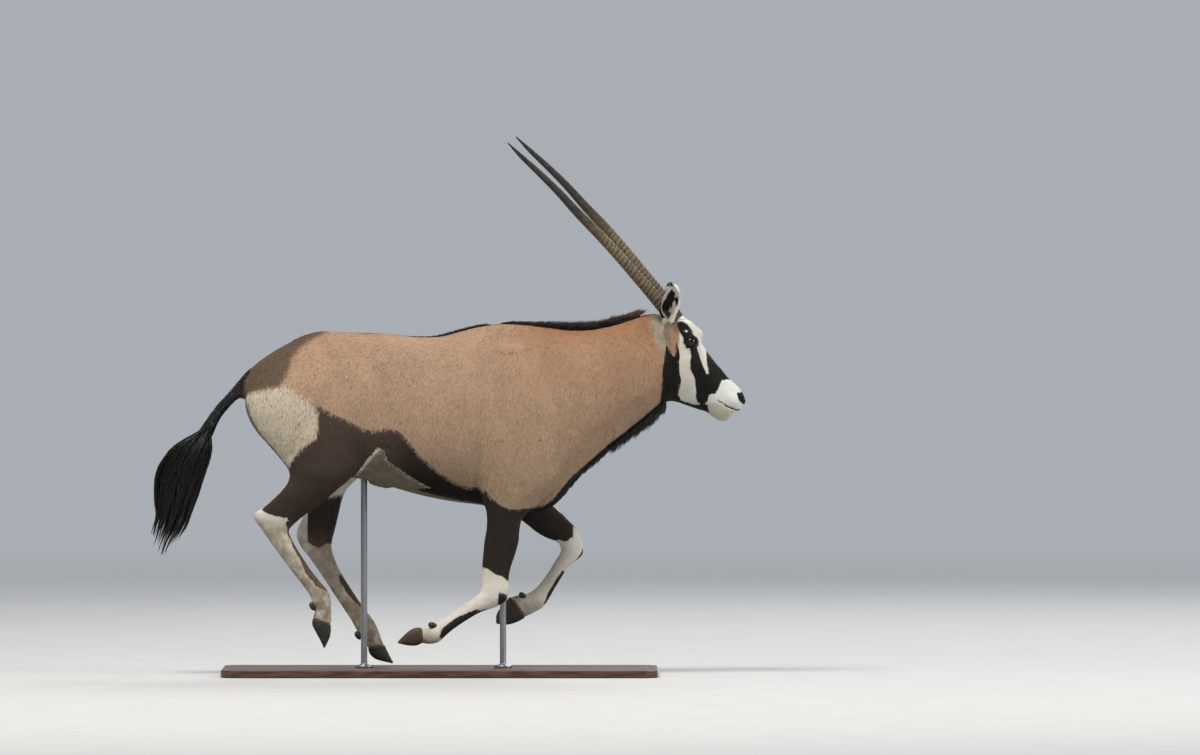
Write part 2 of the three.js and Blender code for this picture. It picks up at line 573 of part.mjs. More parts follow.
// tail
const dock = loft(DOCK, DOCK_STYLE);
const tuft = loft(TUFT, { steps: 9, sides: 8, end0: 6, end1: 30, caps: 1 })
  .add(loft([[152, 536, 163, 540, 9, 0], [143.5, 547, 150, 550, 3, 0]], { steps: 2, sides: 6, end0: 4, end1: 6, caps: 1 }))
  .subtract(loft(DOCK, { ...DOCK_STYLE, grow: GAP }));
keep('tail', dock, 0x4a3d36);
keep('tail_tuft', main(tuft), 0x1d1b1b, 0.7);

// crest of the mane and fringe of the throat stand on the skin
const torsoGrown = torsoWith(GAP);
const headGrown = turned(headWith(GAP));
keep('mane', main(loft(CREST, { steps: 10, sides: 6, end0: 3, end1: 5, caps: 1 }).subtract(torsoGrown)), 0x2b2522);
keep('throat_fringe', main(loft(FRINGE, { steps: 10, sides: 6, end0: 4, end1: 4, caps: 1 }).subtract(torsoGrown)
  .subtract(headGrown)), 0x2b2623);

// hooves: two claws and two dewclaws on each foot
const feet = {};
for (const [key, foot] of Object.entries(CLAWS)) {
  for (const [tag, out] of [['inner', -1], ['outer', 1]]) {
    const side = foot.y < 0 ? -1 : 1;
    const rows = foot.rows.map(([fu, fv, ru, rv, b]) => [fu, fv, ru, rv, b, foot.y + side * out * CLAW_SPREAD, 0.5, 2.3, 2.3]);
    const claw = loft(rows, { steps: 4, sides: 6, end0: 0, end1: 3, caps: 1 });
    keep(`hoof_${key}_${tag}`, claw, 0x2a2624, 0.5);
    const d = DEWCLAWS[key];
    const toe = ball(d.u, d.v, d.y + side * out * 12.5, 16, 9.5, 10, { tilt: d.tilt, wide: 6, high: 3 });
    keep(`dewclaw_${key}_${tag}`, main(toe.subtract(legGrown[key])), 0x282422, 0.5);
  }
}

// ---------------------------------------------------------------- stand
const outline = new THREE.Shape();
{
  const a = BASE_LENGTH / 2 - BASE_EDGE, b = BASE_WIDTH / 2 - BASE_EDGE, r = BASE_CORNER - BASE_EDGE;
  outline.moveTo(-a + r, -b);
  outline.lineTo(a - r, -b);
  outline.absarc(a - r, -b + r, r, -Math.PI / 2, 0, false);
  outline.lineTo(a, b - r);
  outline.absarc(a - r, b - r, r, 0, Math.PI / 2, false);
  outline.lineTo(-a + r, b);
  outline.absarc(-a + r, b - r, r, Math.PI / 2, Math.PI, false);
  outline.lineTo(-a, -b + r);
  outline.absarc(-a + r, -b + r, r, Math.PI, 1.5 * Math.PI, false);
}
const board = new THREE.ExtrudeGeometry(outline, {
  depth: BASE_THICK - 2 * BASE_EDGE, bevelEnabled: true, bevelThickness: BASE_EDGE, bevelSize: BASE_EDGE,
  bevelSegments: 1, curveSegments: 2, steps: 1,
});
board.translate(0, 0, BASE_EDGE);
keep('stand_base', solid(board), 0x3a2a20, 0.5);

// each rod stands on its collar and ends against the body
for (const [name, u] of [['front', ROD_FRONT_U], ['rear', ROD_REAR_U]]) {
  const top = Z(470);
  const profile = [[0, BASE_THICK + GAP], [ROD_COLLAR_RADIUS, BASE_THICK + GAP],
    [ROD_COLLAR_RADIUS, BASE_THICK + ROD_COLLAR_THICK], [ROD_COLLAR_RADIUS - 4, BASE_THICK + ROD_COLLAR_THICK + 2],
    [ROD_RADIUS + 1, BASE_THICK + ROD_COLLAR_THICK + 2], [ROD_RADIUS, BASE_THICK + ROD_COLLAR_THICK + 4],
    [ROD_RADIUS, top], [0, top]].map(([r, z]) => new THREE.Vector2(r, z));
  const g = new THREE.LatheGeometry(profile, 10);
  g.rotateX(Math.PI / 2);
  g.translate(X(u), 0, 0);
  const rod = solid(g).subtract(torsoGrown);
  keep(`stand_rod_${name}`, main(rod), 0x8b8d90, 0.3, 0.9);
}

// ---------------------------------------------------------------- scene
const gemsbok = new THREE.Group();
gemsbok.name = 'gemsbok';
for (const [name, s, colour, roughness, metalness] of nodes) {
  const m = s.getMesh();
  const g = new THREE.BufferGeometry();
  g.setAttribute('position', new THREE.BufferAttribute(new Float32Array(m.vertProperties), 3));
  g.setIndex(Array.from(m.triVerts));
  const mesh = new THREE.Mesh(g, new THREE.MeshStandardMaterial({ color: colour, roughness, metalness }));
  mesh.name = name;
  gemsbok.add(mesh);
}

export default gemsbok;
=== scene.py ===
import json
import math
import bpy
import numpy as np
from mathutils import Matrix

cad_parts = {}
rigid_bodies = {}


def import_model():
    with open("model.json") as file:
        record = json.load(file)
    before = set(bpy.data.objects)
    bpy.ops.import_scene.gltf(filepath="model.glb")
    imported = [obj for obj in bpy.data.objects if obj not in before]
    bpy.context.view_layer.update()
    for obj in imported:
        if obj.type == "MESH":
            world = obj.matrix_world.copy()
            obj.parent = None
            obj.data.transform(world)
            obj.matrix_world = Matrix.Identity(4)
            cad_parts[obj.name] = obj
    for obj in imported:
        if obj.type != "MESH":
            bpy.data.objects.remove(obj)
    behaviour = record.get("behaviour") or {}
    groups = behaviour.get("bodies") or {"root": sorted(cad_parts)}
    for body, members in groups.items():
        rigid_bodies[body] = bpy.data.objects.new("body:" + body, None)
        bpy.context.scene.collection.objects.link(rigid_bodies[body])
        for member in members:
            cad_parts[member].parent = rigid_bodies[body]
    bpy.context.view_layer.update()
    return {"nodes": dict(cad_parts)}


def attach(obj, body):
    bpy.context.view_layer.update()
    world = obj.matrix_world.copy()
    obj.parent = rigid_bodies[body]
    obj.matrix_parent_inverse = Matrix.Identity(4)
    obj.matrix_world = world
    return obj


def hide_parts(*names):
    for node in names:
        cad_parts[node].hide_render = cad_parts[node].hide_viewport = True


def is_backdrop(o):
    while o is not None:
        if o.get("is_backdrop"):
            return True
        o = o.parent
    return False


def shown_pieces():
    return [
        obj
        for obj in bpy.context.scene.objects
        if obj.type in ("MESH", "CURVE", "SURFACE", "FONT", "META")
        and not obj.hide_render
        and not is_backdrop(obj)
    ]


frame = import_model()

import openvdb as vdb

RNG = np.random.default_rng(20408)
NODES = list(frame["nodes"])

# =====================================================================
# side chart: u along the body, v down, as in the solids
# =====================================================================
UNIT = 0.00345


def cx(u): return (np.asarray(u, float) - 440.0) * UNIT
def cz(v): return (668.0 - np.asarray(v, float)) * UNIT + 0.025
def cu(x): return x / UNIT + 440.0
def cv(z): return 668.0 - (z - 0.025) / UNIT


def smooth(a, b, x):
    t = np.clip((np.asarray(x, float) - a) / (b - a), 0.0, 1.0)
    return t * t * (3 - 2 * t)


def unit(v):
    return v / np.maximum(np.linalg.norm(v, axis=-1, keepdims=True), 1e-12)


def rot_x(d):
    c, s = math.cos(math.radians(d)), math.sin(math.radians(d))
    return np.array([[1, 0, 0], [0, c, -s], [0, s, c]])


def rot_y(d):
    c, s = math.cos(math.radians(d)), math.sin(math.radians(d))
    return np.array([[c, 0, s], [0, 1, 0], [-s, 0, c]])


def rot_z(d):
    c, s = math.cos(math.radians(d)), math.sin(math.radians(d))
    return np.array([[c, -s, 0], [s, c, 0], [0, 0, 1]])


HEAD_R = rot_z(-10) @ rot_x(8)
HEAD_P = np.array([float(cx(668)), 0.0, float(cz(345))])


def to_world(p): return (np.asarray(p, float) - HEAD_P) @ HEAD_R.T + HEAD_P
def to_head(p): return (np.asarray(p, float) - HEAD_P) @ HEAD_R + HEAD_P


# =====================================================================
# the same stations as the solids
# =====================================================================
TORSO = [[u, top, u, low, w, 0, (low - row) / (low - top), nt, nb] for u, top, low, w, row, nt, nb in [
    (247, 376, 404, 78, 391, 2.2, 2.0), (256, 364, 420, 116, 393, 2.3, 2.1), (268, 354, 438, 142, 396, 2.2, 2.0),
    (284, 344.5, 456, 160, 399, 2.2, 2.0), (302, 335.5, 468, 170, 403, 2.2, 2.0), (320, 330.5, 474, 176, 408, 2.2, 2.1),
    (340, 331, 477, 188, 414, 2.2, 2.2), (360, 332, 480, 201, 420, 2.1, 2.2), (380, 332.5, 484.5, 214, 425, 2.1, 2.25),
    (400, 334.5, 490.5, 221, 429, 2.1, 2.25), (420, 336, 496, 224, 432, 2.05, 2.25), (440, 335.5, 500.3, 222, 434, 2.0, 2.25),
    (460, 330.5, 503.5, 214, 434, 1.9, 2.2), (480, 325.5, 506, 190, 433, 1.8, 2.2), (500, 322.8, 510, 170, 431, 1.75, 2.1),
    (520, 323.2, 513.5, 155, 428, 1.75, 2.1), (540, 325.5, 512, 143, 423, 1.8, 2.1), (556, 327.5, 505, 135, 417, 1.8, 2.0),
    (570, 329, 489, 128, 410, 1.85, 1.95), (585, 329, 471, 121, 402, 1.9, 1.9), (600, 327, 456, 112, 394, 1.9, 1.9),
    (615, 323.5, 443, 103, 386, 1.9, 1.9), (630, 318.5, 430, 94, 377, 1.95, 1.9), (645, 314, 418, 85, 367, 2.0, 1.9),
    (658, 313.5, 407, 76, 360, 2.0, 1.9), (670, 320, 396, 64, 357, 2.0, 2.0)]]
HEAD = [
    [661, 317, 650, 386, 56, 0, 0.55, 2.1, 2.0], [670, 316.5, 657, 396, 65, 0, 0.60, 2.2, 2.0],
    [678, 317.5, 664, 402.5, 71, 0, 0.63, 2.4, 1.95], [687.4, 318.6, 671, 402.5, 74, 0, 0.66, 2.6, 1.9],
    [694.3, 323.8, 678, 404, 75, 0, 0.68, 2.7, 1.85], [698.6, 332.5, 685, 406.5, 72, 0, 0.68, 2.7, 1.85],
    [702.1, 343.6, 692, 408.8, 65, 0, 0.64, 2.6, 1.85], [708.3, 352.6, 699, 411, 57, 0, 0.60, 2.4, 1.85],
    [715, 361.4, 705.5, 413, 50, 0, 0.56, 2.2, 1.9], [721.3, 368.9, 711, 417.3, 45.5, 0, 0.52, 2.1, 1.95],
    [727.4, 376.8, 716, 420.8, 43, 0, 0.50, 2.1, 2.0], [733.2, 382.6, 721.5, 422.2, 42, 0, 0.48, 2.2, 2.0],
    [738.6, 387.8, 727, 421, 40, 0, 0.47, 2.3, 2.0], [742.8, 394, 731.5, 416.5, 35, 0, 0.47, 2.3, 2.0],
    [745.2, 400.5, 735, 412, 26, 0, 0.47, 2.2, 2.0]]
HIND_RIGHT = [
    [316, 350, 262, 374, 46, -88], [338, 378, 247, 394, 80, -108], [356, 404, 246, 410, 92, -112, 0.5, 2.1, 2.1],
    [368, 430, 254, 428, 88, -115, 0.5, 2.1, 2.1], [372, 450, 269, 446, 78, -119, 0.5, 2.0, 2.1],
    [364, 467, 281, 460, 66, -123], [352, 479, 288.5, 471, 57, -126], [341, 488, 288, 480, 50, -122],
    [330, 497.5, 281.5, 489.5, 44, -117], [319, 506, 272.5, 498.5, 39, -112], [308, 514, 263, 506.5, 35, -107],
    [298.5, 521.5, 255, 511.5, 32, -102, 0.58], [292, 527.5, 254, 518.5, 30, -99, 0.6], [290.5, 531, 261, 529, 28, -97, 0.58],
    [291.5, 534.5, 268.5, 539.5, 25, -95, 0.54], [296, 543.5, 278, 552.5, 22, -93], [303, 555.5, 286.5, 564, 21, -91],
    [312, 569, 296, 576.5, 21, -89], [321, 580.5, 305, 588, 23, -88], [328.5, 589.5, 310.5, 596.5, 27, -88],
    [331.8, 599, 312, 603.5, 28, -88], [332.3, 609, 314.5, 610.5, 26, -88], [332.2, 619, 313.5, 615, 27, -88],
    [331.2, 625, 313.2, 618.3, 28, -88]]
HIND_LEFT = [
    [322, 350, 270, 372, 46, 88], [345, 378, 253, 392, 80, 108], [362, 404, 254, 410, 92, 112, 0.5, 2.1, 2.1],
    [373, 430, 262, 430, 88, 115, 0.5, 2.1, 2.1], [375, 450, 277, 450, 78, 119, 0.5, 2.0, 2.1],
    [369, 467, 289, 466, 66, 123], [358, 479.5, 297, 478, 57, 126], [348.5, 489, 302, 489, 50, 122],
    [343, 499, 304, 500, 44, 117], [340.5, 509, 303.5, 510, 39, 112], [338, 519.5, 300.5, 519.5, 35, 107],
    [335.5, 529.5, 296.5, 527.5, 32, 102, 0.58], [332.8, 539, 295, 536.5, 30, 99, 0.6], [331.8, 546.5, 299, 547, 28, 97, 0.58],
    [332.8, 553, 307, 557.5, 25, 95, 0.54], [336, 562.5, 315.5, 569, 22, 93], [341.5, 574, 323.5, 581, 21, 91],
    [349, 586, 332, 594, 21, 89], [357.5, 599, 341, 607.5, 21, 88], [366.5, 611.5, 349, 619.5, 23, 87],
    [374.5, 622.5, 354.5, 629, 27, 87], [379, 632.5, 358.5, 637, 28, 87], [382, 641, 364, 644.5, 26, 87],
    [384.5, 647, 367.5, 649.5, 28, 87]]
FORE_RIGHT = [
    [523, 352, 500, 354, 20, -88], [534, 374, 494, 378, 36, -114], [546, 402, 488, 404, 50, -128],
    [557, 430, 482, 430, 58, -131], [562, 458, 478.5, 456, 62, -130], [557, 484, 478.5, 480, 59, -129],
    [540, 503, 481.5, 498, 51, -124], [525, 516, 485.5, 512, 44, -119], [521, 527.5, 486, 526, 39, -114],
    [519.5, 541, 484, 540, 34.5, -108], [516, 554, 482.5, 555, 30.5, -103], [511.5, 567.5, 481.7, 568, 28, -99],
    [509.6, 579, 482, 578.5, 27, -96], [510, 590, 481.5, 586.5, 28, -94], [506.5, 600.5, 479.5, 592, 27, -92],
    [495, 607.3, 475.5, 595.5, 24, -90], [481, 612.3, 470, 599.5, 21.5, -88], [467.5, 620, 459.5, 606.3, 20.5, -86],
    [456, 627.7, 448.5, 614.7, 20.5, -84], [447.5, 634.5, 439, 621, 23, -82], [440, 641.5, 431, 625.5, 26.5, -81],
    [430.5, 644, 426, 627.5, 26.5, -80], [421.5, 643, 420.5, 627, 27, -80]]
FORE_LEFT = [
    [531, 352, 508, 354, 20, 88], [543, 374, 503, 378, 36, 114], [555, 402, 498, 404, 50, 128],
    [565, 430, 493, 431, 58, 131], [569, 456, 491, 458, 62, 130], [567, 479, 494, 483, 59, 129],
    [560.5, 496, 503, 503, 51, 124], [558.5, 507.5, 514, 516.5, 44, 119], [565, 516, 526, 526, 39, 114],
    [571.5, 522.8, 537, 534.5, 34.5, 108], [577.5, 529.5, 547, 539.7, 30.5, 103], [581.8, 538, 554.5, 542.3, 28, 99],
    [583.8, 547, 558.5, 546, 28, 96], [583, 555.3, 559.8, 551, 28, 94], [577, 561.5, 557.8, 556.3, 25, 92],
    [569, 568.5, 554, 562, 22, 90], [562.3, 578, 549, 570.5, 20.5, 88], [555, 590, 541, 582, 20.5, 86],
    [549.5, 599.5, 534, 589.5, 23, 84], [543.5, 608, 526.5, 593.8, 26.5, 83], [534, 614, 517.5, 595.3, 26.5, 82],
    [524.5, 618.5, 509.5, 598, 27, 82]]
DOCK = [
    [262, 362, 262, 392, 34, 0], [250, 369, 251, 396, 30, 0], [240, 378.5, 243.5, 397.5, 24, 0], [229.5, 391, 236, 401, 20, 0],
    [219.5, 402, 228.5, 408.5, 18, 0], [210, 414.5, 221, 418, 17, 0], [204.5, 423, 217, 426, 18, 0]]
TUFT = [
    [205.5, 421.5, 217.5, 424.5, 15, 0], [191.5, 432.5, 214, 435.5, 23, 0], [177.5, 443.5, 211.5, 447.5, 30, 0],
    [164, 460, 207, 462, 35, 0], [156, 477.5, 201.5, 479, 36, 0], [153.8, 498, 197.5, 497, 34, 0],
    [153, 516, 193, 513, 29, 0], [149, 531, 187, 529, 21, 0], [148, 542.5, 175, 545, 12, 0]]
EAR = [
    [678.5, 323, 664.5, 326, 17, -62], [680.5, 313.6, 665, 316.6, 19, -71], [683.7, 304.3, 664.2, 305.8, 20, -80],
    [686, 295, 667.6, 296, 18.5, -89], [685.2, 287.2, 671.8, 286.8, 13.5, -97], [681.6, 280.6, 675.4, 279.4, 6, -103]]
HORN = [
    [677.5, 321, -40, 21.5], [667, 306.6, -43, 21.2], [656.6, 293, -47, 20.6], [642, 275, -53, 19.6], [622.4, 251.2, -64, 18.4],
    [602.6, 228.6, -73, 17], [582.7, 207.4, -78, 15], [564.8, 187.3, -80, 12.8], [547, 169.3, -81, 10.8],
    [529, 152.3, -81, 8], [514.3, 137.6, -79, 1.6]]
CLAWS = {
    "hind_right": (-88, [[331.15, 625.2, 313.15, 618.5, 14.2], [331.2, 630.5, 312.8, 624, 14.5], [330.2, 636.5, 316.2, 631, 12.5],
                         [327.6, 642.5, 320.8, 639.5, 9], [325.6, 646.6, 323.6, 645.4, 4]]),
    "hind_left": (87, [[384.55, 647.2, 367.55, 649.7, 14.2], [386.6, 651.6, 369.6, 655, 14.5], [388.8, 656, 374.5, 659.5, 12.5],
                       [391, 660.3, 382, 662, 9], [392.8, 663, 389.6, 663.6, 4]]),
    "fore_right": (-80, [[421.3, 643, 420.3, 627, 14.2], [416.5, 644.8, 415, 627.6, 14.5], [411, 645, 408.5, 631, 12.5],
                         [404, 644, 402.5, 636.5, 9], [399.2, 642.6, 398.6, 640.4, 4]]),
    "fore_left": (82, [[524.35, 618.6, 509.35, 598.1, 14.2], [518.5, 622, 505.3, 602.5, 14.5], [511.5, 624.6, 500.3, 608.5, 12.5],
                       [504, 625.6, 496.3, 615.5, 9], [498, 624.8, 495.8, 621.8, 4]])}
DEWCLAWS = {"hind_right": (313.2, 605.8, -88, -62), "hind_left": (357.6, 636.4, 87, -60),
            "fore_right": (433, 624.6, -81, -10), "fore_left": (522.8, 596.6, 82, -40)}


def table(rows):
    out = []
    for r in rows:
        r = list(r) + [0.0, 0.5, 2.0, 2.0][len(r) - 5:]
        out.append([float(cx(r[0])), float(cz(r[1])), float(cx(r[2])), float(cz(r[3])), r[4] / 1000, r[5] / 1000, r[6], r[7], r[8]])
    return np.array(out)


def through(R, t):
    n = len(R) - 1
    s = np.clip(np.asarray(t, float) * n, 0, n)
    i = np.minimum(s.astype(int), n - 1)
    w = (s - i)[:, None]
    p1, p2 = R[i], R[i + 1]
    p0 = np.where((i > 0)[:, None], R[np.maximum(i - 1, 0)], 2 * p1 - p2)
    p3 = np.where((i + 2 <= n)[:, None], R[np.minimum(i + 2, n)], 2 * p2 - p1)
    m1, m2 = (p2 - p0) / 2, (p3 - p1) / 2
    w2, w3 = w * w, w * w * w
    return (2 * w3 - 3 * w2 + 1) * p1 + (w3 - 2 * w2 + w) * m1 + (-2 * w3 + 3 * w2) * p2 + (w3 - w2) * m2


def sections(q):
    """per station: cx cz dx dz hf hr b y nf nr"""
    ln = np.hypot(q[:, 0] - q[:, 2], q[:, 1] - q[:, 3])
    dx, dz = (q[:, 0] - q[:, 2]) / ln, (q[:, 1] - q[:, 3]) / ln
    wide = q[:, 6]
    return np.stack([q[:, 2] + dx * ln * wide, q[:, 3] + dz * ln * wide, dx, dz, (1 - wide) * ln, wide * ln,
                     q[:, 4], q[:, 5], q[:, 7], q[:, 8]], 1)


def cap(ring, towards, length, k=6):
    nx, nz = -ring[3], ring[2]
    side = 1.0 if towards[0] * nx + towards[1] * nz > 0 else -1.0
    out = []
    for j in range(1, k + 1):
        a = j / (k + 0.2) * math.pi / 2
        r = ring.copy()
        e = math.sin(a) * length * side
        r[0] += nx * e
        r[1] += nz * e
        r[4:7] *= math.cos(a)
        out.append(r)
    return out


def ring_points(S, sides):
    a = np.arange(sides) * 2 * np.pi / sides
    c, s = np.cos(a)[None], np.sin(a)[None]
    n = np.where(s >= 0, S[:, 8:9], S[:, 9:10])
    h = np.where(s >= 0, S[:, 4:5], S[:, 5:6]) * np.sign(s) * np.abs(s) ** (2 / n)
    y = S[:, 7:8] + S[:, 6:7] * np.sign(c) * np.abs(c) ** (2 / n)
    return np.stack([S[:, 0:1] + S[:, 2:3] * h, y, S[:, 1:2] + S[:, 3:4] * h], 2)


def tube(P):
    """closed tube from rings (m, sides, 3): points, quads, triangles"""
    m, s = P.shape[:2]
    V = np.vstack([P.reshape(-1, 3), P[0].mean(0)[None], P[-1].mean(0)[None]])
    j = np.arange(s)
    k = (j + 1) % s
    i = np.arange(m - 1)[:, None] * s
    Q = np.stack([i + j, i + k, i + s + k, i + s + j], 2).reshape(-1, 4)
    e = (m - 1) * s
    T = np.concatenate([np.stack([k, j, np.full(s, m * s)], 1), np.stack([e + j, e + k, np.full(s, m * s + 1)], 1)])
    return V, Q, T


def loft(rows, steps, sides, end0=0.0, end1=0.0, t0=0.0, t1=1.0):
    S = sections(through(rows, np.linspace(t0, t1, steps + 1)))
    first = cap(S[0], S[0, :2] - S[1, :2], end0)[::-1] if end0 > 0 else []
    last = cap(S[-1], S[-1, :2] - S[-2, :2], end1) if end1 > 0 else []
    return tube(ring_points(np.array(first + list(S) + last), sides))


# =====================================================================
# distance fields
# =====================================================================
class Field:
    def __init__(self, h, lo, hi):
        self.h = h
        self.lo = (np.floor(np.array(lo) / h / 2) * 2).astype(int)
        self.n = np.ceil(np.array(hi) / h).astype(int) - self.lo + 1
        self.f = None

    def window(self, a, b):
        i0 = np.clip(np.floor(np.array(a) / self.h).astype(int) - self.lo, 0, self.n)
        i1 = np.clip(np.ceil(np.array(b) / self.h).astype(int) - self.lo + 1, 0, self.n)
        return tuple(slice(int(p), int(q)) for p, q in zip(i0, i1))

    def axes(self, w):
        x, y, z = [((np.arange(s.start, s.stop) + self.lo[k]) * self.h).astype(np.float32) for k, s in enumerate(w)]
        return x[:, None, None], y[None, :, None], z[None, None, :]

    def level(self, mesh, half=12, whole=False):
        V, Q, T = mesh
        g = vdb.FloatGrid.createLevelSetFromPolygons(
            V.astype(np.float32), triangles=T.astype(np.uint32), quads=Q.astype(np.uint32),
            transform=vdb.createLinearTransform(voxelSize=self.h), halfWidth=float(half))
        m = half * self.h
        w = (slice(0, int(self.n[0])), slice(0, int(self.n[1])), slice(0, int(self.n[2]))) if whole else self.window(V.min(0) - m, V.max(0) + m)
        a = np.empty(tuple(s.stop - s.start for s in w), np.float32)
        g.copyToArray(a, ijk=tuple(int(self.lo[k] + w[k].start) for k in range(3)))
        return a, w

    def sample(self, P, f=None):
        f = self.f if f is None else f
        q = P / self.h - self.lo
        i = np.clip(np.floor(q).astype(int), 0, self.n - 2)
        w = np.clip(q - i, 0, 1)
        x, y, z = i.T
        a, b, c = w.T
        return ((f[x, y, z] * (1 - a) + f[x + 1, y, z] * a) * (1 - b) * (1 - c)
                + (f[x, y + 1, z] * (1 - a) + f[x + 1, y + 1, z] * a) * b * (1 - c)
                + (f[x, y, z + 1] * (1 - a) + f[x + 1, y, z + 1] * a) * (1 - b) * c
                + (f[x, y + 1, z + 1] * (1 - a) + f[x + 1, y + 1, z + 1] * a) * b * c)


def smin(a, b, k):
    h = np.clip(0.5 + 0.5 * (b - a) / k, 0, 1)
    return b * (1 - h) + a * h - k * h * (1 - h)


def smax(a, b, k): return -smin(-a, -b, k)


def chain_field(field, pts, radii, margin):
    """distance to a chain of round cones, in a window round it"""
    pts = np.asarray(pts, float)
    radii = np.asarray(radii, float)
    m = margin + radii.max()
    w = field.window(pts.min(0) - m, pts.max(0) + m)
    if min(s.stop - s.start for s in w) < 2:
        return None, w
    x, y, z = field.axes(w)
    d = None
    if len(pts) == 1:
        d = np.sqrt((x - pts[0, 0]) ** 2 + (y - pts[0, 1]) ** 2 + (z - pts[0, 2]) ** 2) - radii[0]
    for i in range(len(pts) - 1):
        a, e = pts[i], pts[i + 1] - pts[i]
        t = np.clip(((x - a[0]) * e[0] + (y - a[1]) * e[1] + (z - a[2]) * e[2]) / max(e @ e, 1e-12), 0, 1)
        s = np.sqrt((x - a[0] - t * e[0]) ** 2 + (y - a[1] - t * e[1]) ** 2 + (z - a[2] - t * e[2]) ** 2)
        s = s - (radii[i] + (radii[i + 1] - radii[i]) * t)
        d = s if d is None else np.minimum(d, s)
    return d.astype(np.float32), w


def add_chain(field, pts, radii, k):
    d, w = chain_field(field, pts, radii, k + 0.004)
    if d is not None:
        field.f[w] = smin(field.f[w], d, k)


def cut_chain(field, pts, radii, k):
    d, w = chain_field(field, pts, radii, k + 0.004)
    if d is not None:
        field.f[w] = smax(field.f[w], -d, k)


def add_ellipsoid(field, c, r, R, k):
    r = np.asarray(r, float)
    m = r.max() + k + 0.004
    w = field.window(np.array(c) - m, np.array(c) + m)
    if min(s.stop - s.start for s in w) < 2:
        return
    x, y, z = field.axes(w)
    p = [(x - c[0]) * R[0, j] + (y - c[1]) * R[1, j] + (z - c[2]) * R[2, j] for j in range(3)]
    k0 = np.sqrt(sum((p[j] / r[j]) ** 2 for j in range(3)))
    k1 = np.sqrt(sum((p[j] / r[j] ** 2) ** 2 for j in range(3)))
    d = k0 * (k0 - 1) / np.maximum(k1, 1e-6)
    field.f[w] = smin(field.f[w], d.astype(np.float32), k)


TORSO_R, HEAD_T = table(TORSO), table(HEAD)
LEG_R = {"hind_right": table(HIND_RIGHT), "hind_left": table(HIND_LEFT), "fore_right": table(FORE_RIGHT), "fore_left": table(FORE_LEFT)}
DOCK_R, TUFT_R = table(DOCK), table(TUFT)

A = Field(0.004, (-0.84, -0.252, 0.028), (1.08, 0.252, 1.28))
B = Field(0.002, (0.716, -0.13, 0.87), (1.078, 0.13, 1.276))
A.f, _ = A.level(loft(TORSO_R, 220, 96, 0.014, 0.016), whole=True)
A_TORSO = A.f.copy()
A_LEG = {}
for key, rows in LEG_R.items():
    f, w = A.level(loft(rows, 260, 48, 0.010, 0.0))
    x, y, z = A.axes(w)
    v = cv(z)
    k = 0.012 + 0.024 * (1 - smooth(432, 460, v)) if key.startswith("hind") else 0.012 + 0.026 * (1 - smooth(474, 500, v))
    A.f[w] = smin(A.f[w], f, k.astype(np.float32))
    A_LEG[key] = (f, w)
f, w = A.level(loft(DOCK_R, 60, 40, 0.010, 0.004))
A.f[w] = smin(A.f[w], f, 0.022)
A_DOCK = (f, w)
add_ellipsoid(A, (float(cx(381)), 0, float(cz(484.5))), (0.040, 0.017, 0.013), rot_y(12), 0.016)

head_mesh = loft(HEAD_T, 160, 72, 0.012, 0.009)
head_mesh = (to_world(head_mesh[0]), head_mesh[1], head_mesh[2])
f, w = A.level(head_mesh)
A_HEAD = (f, w)
A.f[w] = smin(A.f[w], f, 0.018)
B.f, _ = B.level(loft(TORSO_R, 140, 96, 0.0, 0.016, t0=17.5 / 25), half=16, whole=True)
f, w = B.level(head_mesh, half=16, whole=True)
B.f = smin(B.f, f, 0.018)


def probe(P):
    """the body's distance field: the fine one round the head, else the coarse one"""
    a = A.sample(P)
    lo = (B.lo + 1) * B.h
    hi = (B.lo + B.n - 2) * B.h
    edge = np.minimum(P - lo, hi - P).min(1)
    inside = edge > 0
    if inside.any():
        b = B.sample(P[inside])
        wgt = np.clip(edge[inside] / 0.016, 0, 1)
        a[inside] = a[inside] * (1 - wgt) + b * wgt
    return a


def slope(P, e=0.0025):
    g = np.empty_like(P)
    for k in range(3):
        d = np.zeros(3)
        d[k] = e
        g[:, k] = probe(P + d) - probe(P - d)
    return g / (2 * e)


def to_surface(P, depth=0.0, rounds=4):
    P = np.array(P, float)
    for _ in range(rounds):
        g = slope(P)
        f = probe(P) + depth
        P -= np.clip(f / np.maximum((g * g).sum(1), 0.2), -0.02, 0.02)[:, None] * g
    return P


def reach(uv, side, head=False, start=0.25):
    """the place on the side of the body at chart places uv"""
    uv = np.asarray(uv, float)
    ys = np.arange(start if not head else 0.11, 0.0, -0.001)
    out = []
    for u, v in uv:
        P = np.stack([np.full_like(ys, cx(u)), side * ys, np.full_like(ys, cz(v))], 1)
        if head:
            P = to_world(P)
        hit = np.nonzero(probe(P) < 0)[0]
        out.append(P[hit[0]] if len(hit) else P[-1])
    return np.array(out)


